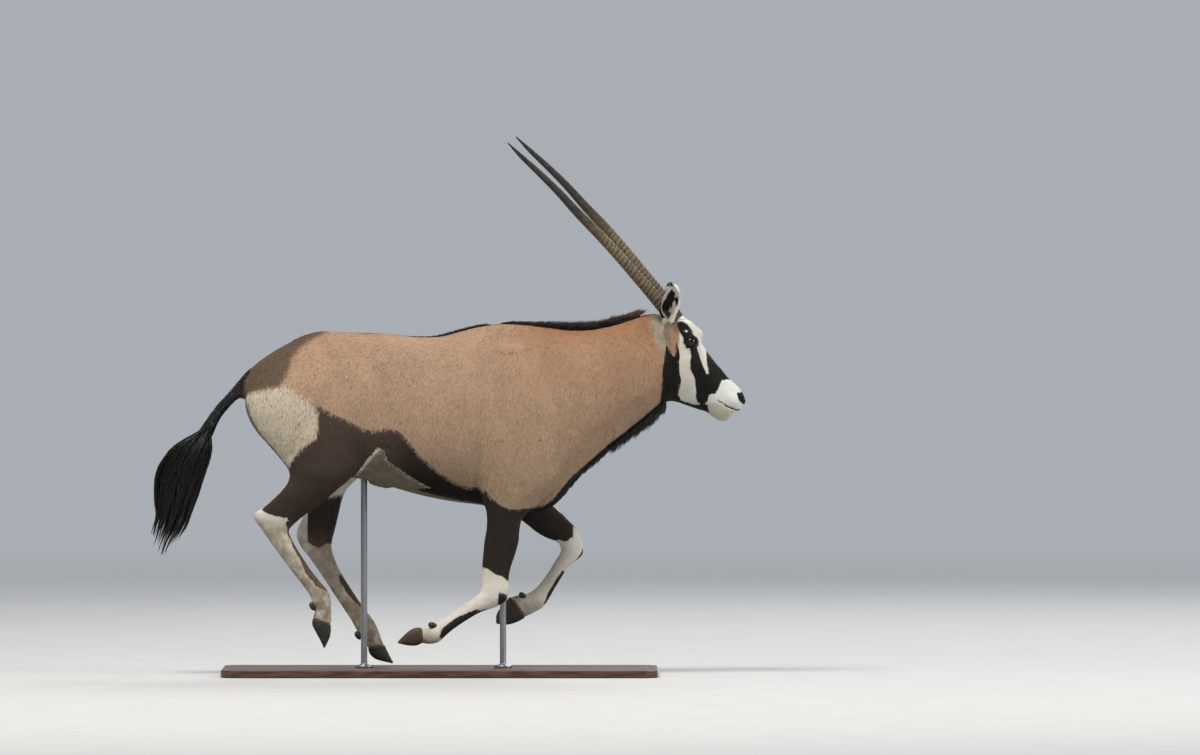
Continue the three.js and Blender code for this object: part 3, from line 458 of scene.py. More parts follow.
def soft(fields, P, sigma, depth):
    """a soft groove along points of the surface, or a ridge where depth is under nought; in mm"""
    P = np.asarray(P, float)
    n = len(P)
    sg = np.broadcast_to(np.asarray(sigma, float) / 1000, (n,))
    dp = np.broadcast_to(np.asarray(depth, float) / 1000, (n,))
    for fl in fields:
        m = 2.6 * sg.max()
        w = fl.window(P.min(0) - m, P.max(0) + m)
        if min(s.stop - s.start for s in w) < 2:
            continue
        x, y, z = fl.axes(w)
        best = val = None
        for i in range(max(n - 1, 1)):
            a = P[i]
            e = P[min(i + 1, n - 1)] - a
            t = np.clip(((x - a[0]) * e[0] + (y - a[1]) * e[1] + (z - a[2]) * e[2]) / max(e @ e, 1e-12), 0, 1)
            d2 = (x - a[0] - t * e[0]) ** 2 + (y - a[1] - t * e[1]) ** 2 + (z - a[2] - t * e[2]) ** 2
            k = min(i + 1, n - 1)
            g = (dp[i] + (dp[k] - dp[i]) * t) * np.exp(-d2 / (sg[i] + (sg[k] - sg[i]) * t) ** 2)
            val = g if val is None else np.where(np.abs(g) > np.abs(val), g, val)
        fl.f[w] += val.astype(np.float32)


def stroke(fields, uv, side, radius, depth, head=False, start=0.25, raise_=False):
    soft(fields, reach(uv, side, head, start), radius, -np.asarray(depth, float) if raise_ else depth)


def hp(u, v, y):
    """a point of the head, given in its own chart, y in mm"""
    return to_world([float(cx(u)), y / 1000, float(cz(v))])


AB = (A, B)
EYE_C = {s: hp(694.3, 338.9, 61 * s) for s in (-1, 1)}
EYE_R = 0.020
EYE_OUT = {s: unit(np.array([0.30, 0.94 * s, 0.10]) @ HEAD_R.T) for s in (-1, 1)}

# ---- head forms
for s in (-1, 1):
    for fl in AB:
        add_ellipsoid(fl, hp(691.8, 331.8, 58 * s), (0.030, 0.019, 0.014), HEAD_R @ rot_y(30), 0.012)
        add_chain(fl, [hp(671.8, 333, 50 * s), hp(671.6, 325, 58 * s), hp(672.4, 319.5, 64 * s)], [0.022, 0.0195, 0.0165], 0.016)
        add_chain(fl, [hp(686, 331, 36 * s), hp(677.8, 321.5, 40 * s)], [0.024, 0.0245], 0.010)
        add_ellipsoid(fl, hp(683, 377, 41 * s), (0.030, 0.017, 0.050), HEAD_R @ rot_y(18), 0.016)
        add_ellipsoid(fl, hp(733.5, 399, 26 * s), (0.030, 0.016, 0.019), HEAD_R @ rot_y(38), 0.010)
    stroke(AB, [(699, 347), (704, 355), (710, 366), (718, 379)], s, [7, 8, 8, 8], [0, 2.4, 2.6, 0], head=True, raise_=True)
    stroke(AB, [(703, 347), (709, 358), (716, 369), (723, 380)], s, [9, 10, 10, 9], [0, 1.8, 2.4, 0], head=True)
    stroke(AB, [(696, 376), (702, 386), (708, 394), (713, 400)], s, [16, 16, 14, 12], [0, 3.2, 3.2, 0], head=True)
    stroke(AB, [(685, 350), (690, 352), (696, 351)], s, [6, 6, 6], [0, 1.6, 0], head=True)
    stroke(AB, [(672, 345), (673, 358), (673, 372), (676, 386)], s, [14, 14, 14, 12], [0, 2.0, 2.4, 0], head=True)
    stroke(AB, [(686, 403), (696, 405), (706, 407)], s, [9, 9, 9], [0, 2.2, 0], head=True, raise_=True)
    # lid rims, the eye's opening and the fold above it
    e, o = EYE_C[s], EYE_OUT[s]
    up = unit(np.cross(np.cross(o, np.array([0.0, 0, 1]) @ HEAD_R.T), o))
    fore = unit(np.cross(up, o) * (1 if s < 0 else -1))
    if fore @ (np.array([1.0, 0, 0]) @ HEAD_R.T) < 0:
        fore = -fore
    tilt = math.radians(-14)
    lift = unit(up * math.cos(tilt) - fore * math.sin(tilt))
    for fl in AB:
        add_chain(fl, [e], [EYE_R + (0.0036 if s < 0 else 0.0030)], 0.010)
        mid = e + o * (EYE_R - 0.0015) - fore * 0.0030
        d1, w = chain_field(fl, [mid + lift * 0.0112], [0.0210], 0.02)
        if d1 is None:
            continue
        x, y, z = fl.axes(w)
        c2 = mid - lift * 0.0104
        d2 = np.sqrt((x - c2[0]) ** 2 + (y - c2[1]) ** 2 + (z - c2[2]) ** 2) - 0.0210
        deep = (EYE_R - 0.0045) - np.sqrt((x - e[0]) ** 2 + (y - e[1]) ** 2 + (z - e[2]) ** 2)
        carve = smax(smax(d1, d2, 0.001), deep.astype(np.float32), 0.001)
        fl.f[w] = smax(fl.f[w], -carve, 0.0016)
    arc = [e + o * 0.012 + lift * 0.0255 * math.cos(a) + fore * 0.0265 * math.sin(a) for a in np.linspace(-1.0, 1.0, 9)]
    arc = to_surface(np.array(arc), rounds=3)
    for fl in AB:
        cut_chain(fl, arc, [0.0016] * 9, 0.002)
    # nostril, with a rim, and the line of the mouth
    nos = to_surface(np.array([hp(739.6, 393.6, 30 * s), hp(742.4, 397.2, 27 * s), hp(744.6, 401.2, 21 * s)]), rounds=4)
    soft(AB, nos, [8, 9, 8], [-1.5, -3.2, -1.5])
    soft(AB, nos + (to_surface(nos) - nos) * 0, [3.6, 4.6, 3.6], [2.0, 7.5, 3.5])
    wing = to_surface(np.array([hp(737.6, 396.5, 33 * s), hp(738.6, 401.4, 31 * s), hp(742.6, 405.4, 24 * s)]), rounds=4)
    soft(AB, wing, [4, 4, 4], [0, 1.6, 0])
    line = reach([(716.5, 398.2), (719.5, 400.0), (722.6, 401.8), (728.4, 405.3), (733.6, 407.7), (738.5, 408.2)], s, head=True)
    line = np.vstack([line, to_surface(np.array([hp(742.5, 408.6, 19 * s), hp(744.6, 409.0, 8 * s), hp(744.8, 409.1, 0)]), rounds=3)])
    soft(AB, line, [3.0, 3.2, 3.4, 3.8, 4.2, 4.2, 4.0, 4.0, 4.0], [0, 2.4, 4.6, 6.6, 8.0, 8.4, 7.0, 6.4, 6.4])
# ---- body forms
for s in (-1, 1):
    stroke([A], [(500, 372), (495, 394), (490, 415), (485, 436), (480, 456), (477, 472), (476, 486)], s, [26, 24, 22, 20, 18, 16, 14],
           [0, 4, 7.0, 9.0, 10.5, 11.0, 6])
    stroke([A], [(356, 346), (366, 361), (375, 378), (382, 396), (382, 412), (378, 428)], s, [34, 36, 38, 36, 30, 26],
           [0, 6.0, 9.5, 10.5, 8.0, 0])
    stroke([A], [(648, 396), (636, 408), (618, 422), (600, 438), (585, 452)], s, [20, 24, 26, 26, 24], [0, 5, 7, 7, 0])
    stroke([A], [(326, 342), (334, 346), (344, 356), (350, 368)], s, [26, 30, 30, 26], [0, 5.0, 4.0, 0], raise_=True)
    stroke([A], [(514, 336), (522, 354), (530, 376), (538, 400), (542, 424)], s, [24, 22, 22, 22, 20], [0, 5, 6, 5.5, 0], raise_=True)
    stroke([A], [(558, 356), (565, 376), (569, 400), (569, 428), (562, 452), (552, 472)], s, [28, 30, 30, 28, 24, 20], [0, 6, 8.5, 9, 6, 0])
    stroke([A], [(508, 345), (512, 362), (517, 384), (520, 402)], s, [22, 20, 20, 20], [0, 3, 3, 0])
    stroke([A], [(330, 395), (316, 412), (303, 432), (294, 452), (288, 470)], s, [22, 22, 20, 18, 14], [0, 4, 6, 6, 0])
    stroke([A], [(374, 448), (384, 447), (394, 449)], s, [14, 14, 12], [0, 5, 0])
    stroke([A], [(512, 470), (516, 486), (514, 500)], s, [22, 22, 16], [0, 4, 0])
LEG_MARKS = {
    "hind_right": ([(286, 500), (276, 508), (266, 515)], [(277, 545), (289, 561), (302, 579)], [(298, 497), (291, 505), (284, 513)]),
    "hind_left": ([(309, 505), (305, 517), (301, 528)], [(315, 562), (326, 581), (340, 602)], [(319, 508), (315, 519), (312, 528)]),
    "fore_right": ([(490, 522), (487, 540), (486, 556)], [(473, 602.5), (461, 609.5), (449, 618)], [(488, 576), (486, 583), (484, 590)]),
    "fore_left": ([(524, 521), (536, 530.5), (547, 536.5)], [(554.5, 569), (548.5, 578.5), (541.5, 589)], [(560, 543), (561, 548), (561, 553)])}
for key, (up_, low, hollow) in LEG_MARKS.items():
    side = -1 if key.endswith("right") else 1
    base = {"hind": 0.112, "fore": 0.100}[key.split("_")[0]]
    for face in (1, -1):
        # grooves on the outer face and, mirrored about the leg's own plane, on the inner one
        for uv, r, d in ((up_, 9, 4.5), (low, 7, 3.2), (hollow, 9, 3.0)):
            P = []
            for u, v in uv:
                rows = LEG_R[key]
                mid = (rows[:, [0, 1]] + rows[:, [2, 3]]) / 2
                i = np.argmin(np.hypot(mid[:, 0] - cx(u), mid[:, 1] - cz(v)))
                y0 = rows[i, 5]
                ys = y0 + side * face * np.arange(0.11, 0, -0.001)
                Q = np.stack([np.full_like(ys, cx(u)), ys, np.full_like(ys, cz(v))], 1)
                hit = np.nonzero(A.sample(Q) < 0)[0]
                P.append(Q[hit[0]] if len(hit) else Q[-1])
            soft([A], P, r, [0.35 * d, d, 0.35 * d])


# =====================================================================
# the skin
# =====================================================================
HEAD_AXIS = unit(np.array([float(cx(742) - cx(668)), 0.0, float(cz(404) - cz(350))]))


def along_head(P):
    """metres in front of the poll, along the head"""
    q = to_head(P)
    return (q - np.array([float(cx(668)), 0, float(cz(350))])) @ HEAD_AXIS


def coat_depth(P):
    d = 0.0044 - 0.0018 * (1 - smooth(0.42, 0.62, P[:, 2]))
    h = along_head(P)
    d = d + (0.0022 - d) * smooth(-0.03, 0.05, h) * (P[:, 0] > 0.6)
    d = d - 0.0010 * smooth(0.16, 0.22, h) * (P[:, 0] > 0.6)
    eye = np.minimum(np.linalg.norm(P - EYE_C[-1], axis=1), np.linalg.norm(P - EYE_C[1], axis=1))
    return d + (0.0009 - d) * smooth(0.034, 0.026, eye)


def edges_of(quads, tris):
    e = [quads[:, [0, 1]], quads[:, [1, 2]], quads[:, [2, 3]], quads[:, [3, 0]]]
    if len(tris):
        e += [tris[:, [0, 1]], tris[:, [1, 2]], tris[:, [2, 0]]]
    e = np.sort(np.concatenate(e), 1)
    return np.unique(e, axis=0)


def refine(V, quads, tris, pick):
    """split the picked quads in four; their neighbours are fanned about their middles"""
    n = len(V)
    big = np.int64(n)
    sel = quads[pick]
    e = np.sort(np.concatenate([sel[:, [0, 1]], sel[:, [1, 2]], sel[:, [2, 3]], sel[:, [3, 0]]]), 1)
    key, inv = np.unique(e[:, 0] * big + e[:, 1], return_inverse=True)
    mid = (V[key // big] + V[key % big]) / 2
    m = len(sel)
    inv = inv.reshape(4, m).T + n
    centre = n + len(key) + np.arange(m)
    new = [V, mid, V[sel].mean(1)]
    out = np.concatenate([np.stack([sel[:, k], inv[:, k], centre, inv[:, (k + 3) % 4]], 1) for k in range(4)])
    rest = quads[~pick]
    first = n + len(key) + m

    def lookup(a, b):
        lo, hi = np.minimum(a, b), np.maximum(a, b)
        k = lo * big + hi
        j = np.searchsorted(key, k)
        j = np.minimum(j, len(key) - 1)
        return np.where(key[j] == k, j + n, -1)

    add_tris, add_pts = [], []
    for faces in (rest, tris):
        if not len(faces):
            continue
        c = faces.shape[1]
        mids = np.stack([lookup(faces[:, k], faces[:, (k + 1) % c]) for k in range(c)], 1)
        hit = (mids >= 0).any(1)
        if faces is rest:
            keep_q = faces[~hit]
        else:
            keep_t = faces[~hit]
        for f, md in zip(faces[hit], mids[hit]):
            loop = []
            for k in range(c):
                loop.append(f[k])
                if md[k] >= 0:
                    loop.append(md[k])
            ci = first + len(add_pts)
            add_pts.append(V[f].mean(0))
            for k in range(len(loop)):
                add_tris.append((loop[k], loop[(k + 1) % len(loop)], ci))
    if not len(tris):
        keep_t = np.zeros((0, 3), np.int64)
    V = np.vstack(new + ([np.array(add_pts)] if add_pts else []))
    T = np.vstack([keep_t, np.array(add_tris, np.int64).reshape(-1, 3)])
    return V, np.vstack([keep_q, out]), T


def relax(V, E, amount):
    s = np.zeros_like(V)
    cnt = np.bincount(E.ravel(), minlength=len(V))[:, None]
    for k in range(3):
        s[:, k] = np.bincount(E[:, 0], V[E[:, 1], k], len(V)) + np.bincount(E[:, 1], V[E[:, 0], k], len(V))
    return V + amount * (s / np.maximum(cnt, 1) - V)


x, y, z = A.axes((slice(0, int(A.n[0]), 1), slice(0, int(A.n[1])), slice(0, int(A.n[2]))))
coarse = np.ascontiguousarray(A.f[::2, ::2, ::2])
nx, ny, nz = coarse.shape
gx, gy, gz = [((np.arange(c) * 2 + A.lo[k]) * A.h) for k, c in enumerate(coarse.shape)]
P = np.stack(np.meshgrid(gx, gy, gz, indexing="ij"), 3).reshape(-1, 3)
coarse = coarse + coat_depth(P).reshape(coarse.shape).astype(np.float32)
g = vdb.FloatGrid(0.05)
g.transform = vdb.createLinearTransform(voxelSize=A.h * 2)
g.copyFromArray(coarse, ijk=tuple(int(c) // 2 for c in A.lo))
V, quads = g.convertToQuads(isovalue=0.0)
V, quads = V.astype(float), quads.astype(np.int64)
del P, coarse

# only the one body is kept
E = edges_of(quads, np.zeros((0, 3), int))
lab = np.arange(len(V))
while True:
    m = np.minimum(lab[E[:, 0]], lab[E[:, 1]])
    new = lab.copy()
    np.minimum.at(new, E[:, 0], m)
    np.minimum.at(new, E[:, 1], m)
    new = new[new]
    if (new == lab).all():
        break
    lab = new
names, cnt = np.unique(lab, return_counts=True)
body = names[np.argmax(cnt)]
quads = quads[lab[quads[:, 0]] == body]
used = np.unique(quads)
back = np.full(len(V), -1)
back[used] = np.arange(len(used))
V, quads = V[used], back[quads]
vol = np.einsum("ij,ij->i", V[quads[:, 0]], np.cross(V[quads[:, 1]], V[quads[:, 2]])).sum() + np.einsum(
    "ij,ij->i", V[quads[:, 0]], np.cross(V[quads[:, 2]], V[quads[:, 3]])).sum()
if vol < 0:
    quads = quads[:, ::-1].copy()

tris = np.zeros((0, 3), np.int64)
V = to_surface(V, coat_depth(V), 2)
c = V[quads].mean(1)
h = along_head(c)
V, quads, tris = refine(V, quads, tris, ((h > 0.0) & (c[:, 0] > 0.76)) | (c[:, 2] < 0.335) | (c[:, 0] < -0.70))
V = to_surface(V, coat_depth(V), 2)
c = V[quads].mean(1)
h = along_head(c)
hc_ = to_head(c)
near_eye = np.minimum(np.linalg.norm(c - EYE_C[-1], axis=1), np.linalg.norm(c - EYE_C[1], axis=1))
V, quads, tris = refine(V, quads, tris, (c[:, 0] > 0.78) & ((h > 0.215) | (near_eye < 0.034)))
V = to_surface(V, coat_depth(V), 2)
E = edges_of(quads, tris)
for _ in range(4):
    V = relax(V, E, 0.5)
    V = to_surface(V, coat_depth(V), 1)
V = to_surface(V, coat_depth(V), 2)
print("skin:", len(V), "points", len(quads) * 2 + len(tris), "triangles")


# =====================================================================
# places on the parts
# =====================================================================
LEG_S = {key: sections(through(rows, np.linspace(0, 1, 301))) for key, rows in LEG_R.items()}
DOCK_S = sections(through(DOCK_R, np.linspace(0, 1, 101)))


def value_in(part, P):
    f, w = part
    lo = np.array([s.start for s in w]) + A.lo
    q = P / A.h - lo
    n = np.array(f.shape)
    ok = ((q >= 0) & (q < n - 1)).all(1)
    out = np.full(len(P), 0.048)
    i = np.floor(q[ok]).astype(int)
    out[ok] = f[i[:, 0], i[:, 1], i[:, 2]]
    i1 = np.round(q[ok]).astype(int)
    out[ok] = (out[ok] + f[i1[:, 0], i1[:, 1], i1[:, 2]]) / 2
    return out


def along(S, P):
    """(share along, share across: -1 rear to 1 front, side offset in m, cross direction) on a limb"""
    t = np.empty(len(P))
    q = np.empty(len(P))
    y = np.empty(len(P))
    mid = (S[:, 4] - S[:, 5]) / 2
    C = np.stack([S[:, 0] + S[:, 2] * mid, S[:, 1] + S[:, 3] * mid], 1)
    h = (S[:, 4] + S[:, 5]) / 2
    for lo in range(0, len(P), 8000):
        p = P[lo:lo + 8000]
        ax = p[:, 0:1] - C[None, :, 0]
        az = p[:, 2:3] - C[None, :, 1]
        al = ax * S[:, 2] + az * S[:, 3]
        cr = np.abs(ax * S[:, 3] - az * S[:, 2]) + 3 * np.maximum(np.abs(al) - 1.35 * h, 0)
        i = np.argmin(cr, 1)
        r = np.arange(len(p))
        t[lo:lo + 8000] = i / (len(S) - 1)
        q[lo:lo + 8000] = al[r, i] / h[i]
        y[lo:lo + 8000] = p[:, 1] - S[i, 7]
    return t, q, y


def to_chart(S, t, q):
    """chart place of a share along and across"""
    x = np.clip(t, 0, 1) * (len(S) - 1)
    i = np.clip(x.astype(int), 0, len(S) - 2)
    w = (x - i)[:, None]
    s = S[i] * (1 - w) + S[i + 1] * w
    mid = (s[:, 4] - s[:, 5]) / 2
    h = (s[:, 4] + s[:, 5]) / 2
    return cu(s[:, 0] + s[:, 2] * (mid + q * h)), cv(s[:, 1] + s[:, 3] * (mid + q * h))


def inside(u, v, poly):
    """distance in chart units to the edge of an outline, positive inside"""
    d = np.full(len(u), 1e9)
    odd = np.zeros(len(u), bool)
    n = len(poly)
    for i in range(n):
        (x0, y0), (x1, y1) = poly[i], poly[(i + 1) % n]
        ex, ey = x1 - x0, y1 - y0
        t = np.clip(((u - x0) * ex + (v - y0) * ey) / (ex * ex + ey * ey + 1e-9), 0, 1)
        d = np.minimum(d, (u - x0 - t * ex) ** 2 + (v - y0 - t * ey) ** 2)
        if y0 != y1:
            odd ^= ((v < y0) != (v < y1)) & (u < x0 + (v - y0) * ex / ey)
    return np.sqrt(d) * np.where(odd, 1, -1)


def band(u, v, line, half):
    """positive within half of a line"""
    d = np.full(len(u), 1e9)
    for i in range(len(line) - 1):
        (x0, y0), (x1, y1) = line[i], line[i + 1]
        ex, ey = x1 - x0, y1 - y0
        t = np.clip(((u - x0) * ex + (v - y0) * ey) / (ex * ex + ey * ey + 1e-9), 0, 1)
        d = np.minimum(d, (u - x0 - t * ex) ** 2 + (v - y0 - t * ey) ** 2)
    return half - np.sqrt(d)


# outlines of the markings, in the side chart
M_THIGH = [(316, 404), (325, 408), (335, 414), (345, 418), (355, 423), (365, 428), (375, 430), (385, 428), (395, 428),
           (402, 432), (410, 441), (420, 454), (430, 463), (440, 472), (450, 478), (460, 484), (470, 487), (484, 490),
           (486, 505), (475, 503), (460, 500), (450, 497), (440, 492), (430, 487), (420, 481), (410, 475), (400, 468),
           (388, 460), (385, 452), (385, 456), (384, 466), (372, 486), (352, 504), (332, 520), (312, 532), (298, 536),
           (291, 525), (288, 518), (275, 515), (266, 512), (260, 506), (254, 503), (248, 499), (260, 488), (272, 478),
           (282, 470), (289, 470), (293, 460), (300, 450), (310, 443), (318, 438), (320, 430), (320, 412)]
M_CROUP = [(333, 322), (330, 331), (320, 336), (310, 341), (300, 348), (293, 358), (290, 368), (286, 377), (280, 386),
           (268, 388), (250, 392), (240, 402), (205, 440), (180, 420), (230, 350), (270, 325)]
M_BUTT = [(247, 392), (268, 388), (280, 386), (290, 386), (300, 395), (312, 402), (320, 412), (320, 430), (318, 438),
          (310, 443), (300, 450), (293, 460), (289, 470), (284, 478), (272, 486), (250, 480), (225, 440), (232, 400)]
M_BELLY = [(377, 448), (384, 449), (388, 460), (400, 468), (410, 475), (420, 481), (430, 487), (440, 492), (450, 497),
           (460, 500), (475, 503), (484, 504), (492, 512), (492, 530), (300, 530), (296, 500), (320, 488), (345, 478),
           (360, 466)]
M_HIND_STRIPE = [(296, 520), (302, 536), (312, 553), (324, 568), (335, 583), (330, 592), (317, 586), (307, 573.5),
                 (301, 560), (294, 547), (289, 535), (286.5, 521)]
M_HIND_IN = [(307, 500), (350, 494), (350, 530), (336, 547), (331, 544), (325, 545), (318, 549), (307, 543)]
M_HIND_IN_STRIPE = [(338, 574), (346, 578), (362, 597), (372, 610), (364, 611), (354, 603), (344, 590), (338, 580)]
M_FORE = [(474, 486), (478, 488), (487, 490), (492, 497), (500, 504), (510, 508), (520, 509), (530, 507), (545, 505),
          (562, 498), (566, 512), (536, 526), (530, 545), (522, 566), (512, 584), (509, 581), (504, 576), (495, 573),
          (488, 568), (482, 566), (472, 562), (470, 530), (468, 500)]
M_FORE_KNEE = [(499, 591), (507, 594), (506, 605), (498, 604)]
# painted shade: a thin black line along the fore cannon's lower edge, between the knee patch and the stripe
M_FORE_PAINTED_SHADE_LINE = [(502, 607), (502, 612), (480, 617), (476, 613.5), (478, 609.5)]
M_FORE_STRIPE = [(478, 608), (482, 616), (462, 629), (449, 638), (439.5, 637), (443, 627), (457, 616.5)]
M_FORE_IN = [(548, 498), (580, 514), (573, 527), (573, 537), (565, 543), (560, 540), (550, 543), (528, 536), (502, 518),
             (490, 500), (500, 488)]
M_FORE_IN_KNEE = [(584, 544), (587, 556), (577, 565), (575, 562), (580, 555)]
M_FORE_IN_STRIPE = [(562, 571), (568, 575), (553, 605), (544, 604), (548, 593), (554.5, 582)]
M_FORE_PATCH = [(519, 513), (528, 512), (527, 534), (520, 534)]
M_CHEST = [(520, 509.5), (530, 507), (545, 505), (554, 498), (562, 488), (570, 478), (582, 467), (596, 455), (612, 441),
           (628, 430), (645, 417.5), (660, 403), (668, 406), (650, 430), (600, 480), (570, 520), (500, 530), (500, 514)]
# and of the face
F_BAND = [(667, 344.6), (665.6, 347), (665, 352), (664, 358), (662, 368), (662, 380), (660, 395), (659, 405), (664, 413),
          (680, 414), (706, 418), (708, 412), (706, 404.5), (700, 404.5), (695, 405.5), (686, 403), (680, 401), (677, 395),
          (679.5, 386), (680.5, 380), (679, 372), (679, 366), (678.8, 361.6), (680, 355.5), (678.4, 347), (676.8, 341.5),
          (675.9, 346), (676.4, 350.1), (674.6, 357.0), (672.3, 354.5), (670.4, 351.2)]
F_STRIPE = [(690, 346), (690, 350), (691.5, 356), (690.5, 362), (690, 368), (694, 378), (694.5, 384), (695, 390), (696, 402),
            (700, 405.5), (704, 405), (707, 401), (709, 395), (715, 394), (718, 388), (722, 380.5), (731, 379.5), (744, 374),
            (722, 348), (711, 340), (706.8, 347), (706.5, 355), (706.5, 362), (708.3, 369), (708.5, 374), (706.5, 374.5),
            (703, 367), (700, 357), (698, 350), (696, 345)]
F_BROW = [(677.5, 322), (683, 320.5), (689, 324.5), (693, 330), (694.5, 335), (698, 337.5), (699.5, 341.5), (698.5, 346.5),
          (693, 349), (687, 348), (683.5, 342.5), (684, 337.5), (681.5, 334), (679.5, 330)]
F_NOSE = [(736.6, 393.4), (741, 392.2), (746.5, 396), (747.5, 404), (742.5, 405), (738.5, 400.5)]


def markings(P, N):
    """signed places of the markings at points of the skin, in chart units, and soft weights"""
    n = len(P)
    u, v = cu(P[:, 0]), cv(P[:, 2])
    ay = np.abs(P[:, 1])
    fT = np.clip(A.sample(P, A_TORSO), -0.048, 0.048)
    out = {k: np.full(n, -9.0) for k in ("black", "white", "brown", "grey", "painted_rear_shade")}
    soft = {k: np.zeros(n) for k in ("warm", "low", "mud_and_belly_shade", "leg", "head", "umber", "pale")}
    side = np.where(P[:, 1] < 0, -1, 1)
    fH = value_in(A_HEAD, P)
    lieleg = np.zeros((n, 3))
    tl = np.zeros(n)
    uu, vv = u.copy(), v.copy()
    inner = np.zeros(n)
    legw = np.zeros(n)
    kind = np.zeros(n, int)
    ui, vi = u.copy(), v.copy()
    for key, S in LEG_S.items():
        f = value_in(A_LEG[key], P)
        hind = key.startswith("hind")
        sd = -1 if key.endswith("right") else 1
        w = smooth(0.0, 0.012, fT - f) * (f < 0.03)
        idx = np.nonzero((w > 0) & (np.sign(P[:, 1]) == sd))[0]
        t, q, yo = along(S, P[idx])
        near = LEG_S["hind_right" if hind else "fore_right"]
        far = LEG_S["hind_left" if hind else "fore_left"]
        nu, nv = to_chart(near, t, q)
        fu, fv = to_chart(far, t, q)
        wl = w[idx] * (smooth(436, 462, v[idx]) if hind else smooth(462, 488, v[idx]))
        better = wl > legw[idx]
        j = idx[better]
        a = wl[better]
        uu[j] = u[j] * (1 - a) + nu[better] * a
        vv[j] = v[j] * (1 - a) + nv[better] * a
        ui[j], vi[j] = fu[better], fv[better]
        inner[j] = smooth(-0.008, 0.008, -(yo[better] * sd)) * a
        legw[j] = a
        kind[j] = 1 if hind else 2
        tl[j] = t[better]
        i = np.minimum((t[better] * (len(S) - 1)).astype(int), len(S) - 2)
        lieleg[j, 0] = S[i + 1, 0] - S[i, 0]
        lieleg[j, 2] = S[i + 1, 1] - S[i, 1]
    head = along_head(P)
    hw = smooth(-0.010, 0.012, -(fH - fT) + 0.0) * (P[:, 0] > 0.72)
    soft["leg"] = legw
    soft["head"] = hw
    hindk, forek = kind == 1, kind == 2
    body = legw < 0.5

    def put(k, d):
        out[k] = np.maximum(out[k], np.clip(d, -9, 9))

    b_out = np.maximum(inside(uu, vv, M_THIGH), inside(uu, vv, M_HIND_STRIPE))
    b_out = np.maximum(b_out, np.where(kind != 1, -9, b_out))
    f_out = inside(uu, vv, M_FORE)
    for m in (M_FORE_KNEE, M_FORE_PAINTED_SHADE_LINE, M_FORE_STRIPE):
        f_out = np.maximum(f_out, inside(uu, vv, m))
    b_in = np.maximum(inside(ui, vi, M_HIND_IN), inside(ui, vi, M_HIND_IN_STRIPE))
    f_in = inside(ui, vi, M_FORE_IN)
    for m in (M_FORE_IN_KNEE, M_FORE_IN_STRIPE):
        f_in = np.maximum(f_in, inside(ui, vi, m))
    blk = np.where(forek, f_out * (1 - inner) + f_in * inner, np.maximum(b_out, np.where(body, -9, -9)))
    blk = np.where(hindk, b_out * (1 - inner) + b_in * inner, blk)
    patch = np.minimum(inside(uu, vv, M_FORE_PATCH), (inner - 0.35) * 10)
    blk = np.where(forek, np.minimum(blk, -patch), blk)
    blk = np.where(kind == 0, np.maximum(np.maximum(b_out, f_out * (u > 465) - 9 * (u <= 465)), inside(u, v, M_CHEST)), blk)
    # the underside of the trunk is pale, and so are the inner thighs
    under = np.clip((0.105 - ay) / UNIT * 0.3, -3, 3)
    keel = np.interp(u, [400, 430, 455, 480], [0.098, 0.088, 0.066, 0.040])
    blk = np.where((kind == 0) & (u < 486) & (v > 468), np.minimum(blk, (ay - keel) / UNIT * 0.5), blk)
    blk = np.where((kind == 0) & (v > 488) & (u > 420) & (u < 500), np.maximum(blk, (ay - keel) / UNIT * 0.5), blk)
    # black line along the back, and down the throat
    ridge = smooth(296, 330, u) * 1.0
    put("black", np.where((v < 345) & (u > 296) & (u < 650), (0.0075 + 0.0055 * smooth(500, 560, u) - ay) / UNIT, -9))
    put("black", np.where((u > 556) & (u < 668) & (v > 380) & (hw < 0.5), (0.016 - ay) / UNIT, -9))
    blk = np.where((kind == 0) & (u < 345) & (v < 450), blk * 0.42, blk)
    seam = band(u, v, [(379, 447), (371, 457), (361.5, 470), (349, 483), (337, 493)], 1.15)
    seam = np.where((legw < 0.9) & (u > 330) & (u < 390), seam, -9)
    fold = inside(u, v, [(379, 447), (371, 458), (362, 470.5), (352, 482), (360, 496), (395, 496), (404, 474), (390, 462), (385, 450)])
    fold = np.where(kind == 0, fold, -9)
    blk = np.minimum(blk, -np.maximum(seam, fold))
    put("black", np.where(hw > 0.5, -9, blk))
    put("brown", np.where(hw > 0.5, -9, inside(u, v, M_CROUP)))
    put("brown", np.where(u < 243, 5, -9))
    put("grey", np.where(forek, -9, inside(uu, vv, M_BUTT)))
    # painted shade: a dark blue-grey edge on the buttock's rear-facing surface, set by which way the surface faces
    put("painted_rear_shade", np.where((u < 305) & (v > 390) & (v < 482), (-N[:, 0] - 0.30 * N[:, 2] - 0.84) * 14, -9))
    wht = inside(uu, vv, M_BELLY)
    wht = np.where(kind == 0, np.where(v > 468, np.maximum(wht, (keel - ay) / UNIT * 0.5), wht), wht)
    wht = np.where((kind == 0) & (u > 500), -9, wht)
    wht = np.maximum(wht, np.maximum(seam, fold))
    lower = np.where(hindk, (vv - 500) / 2, np.where(forek, (vv - 545) / 2, -9))
    wht = np.where(kind > 0, np.maximum(np.where(hindk, np.maximum(wht, inner * 6 - 3), -9), lower), wht)
    wht = np.where(forek, np.maximum(wht, patch), wht)
    put("white", np.where(hw > 0.5, -9, wht))
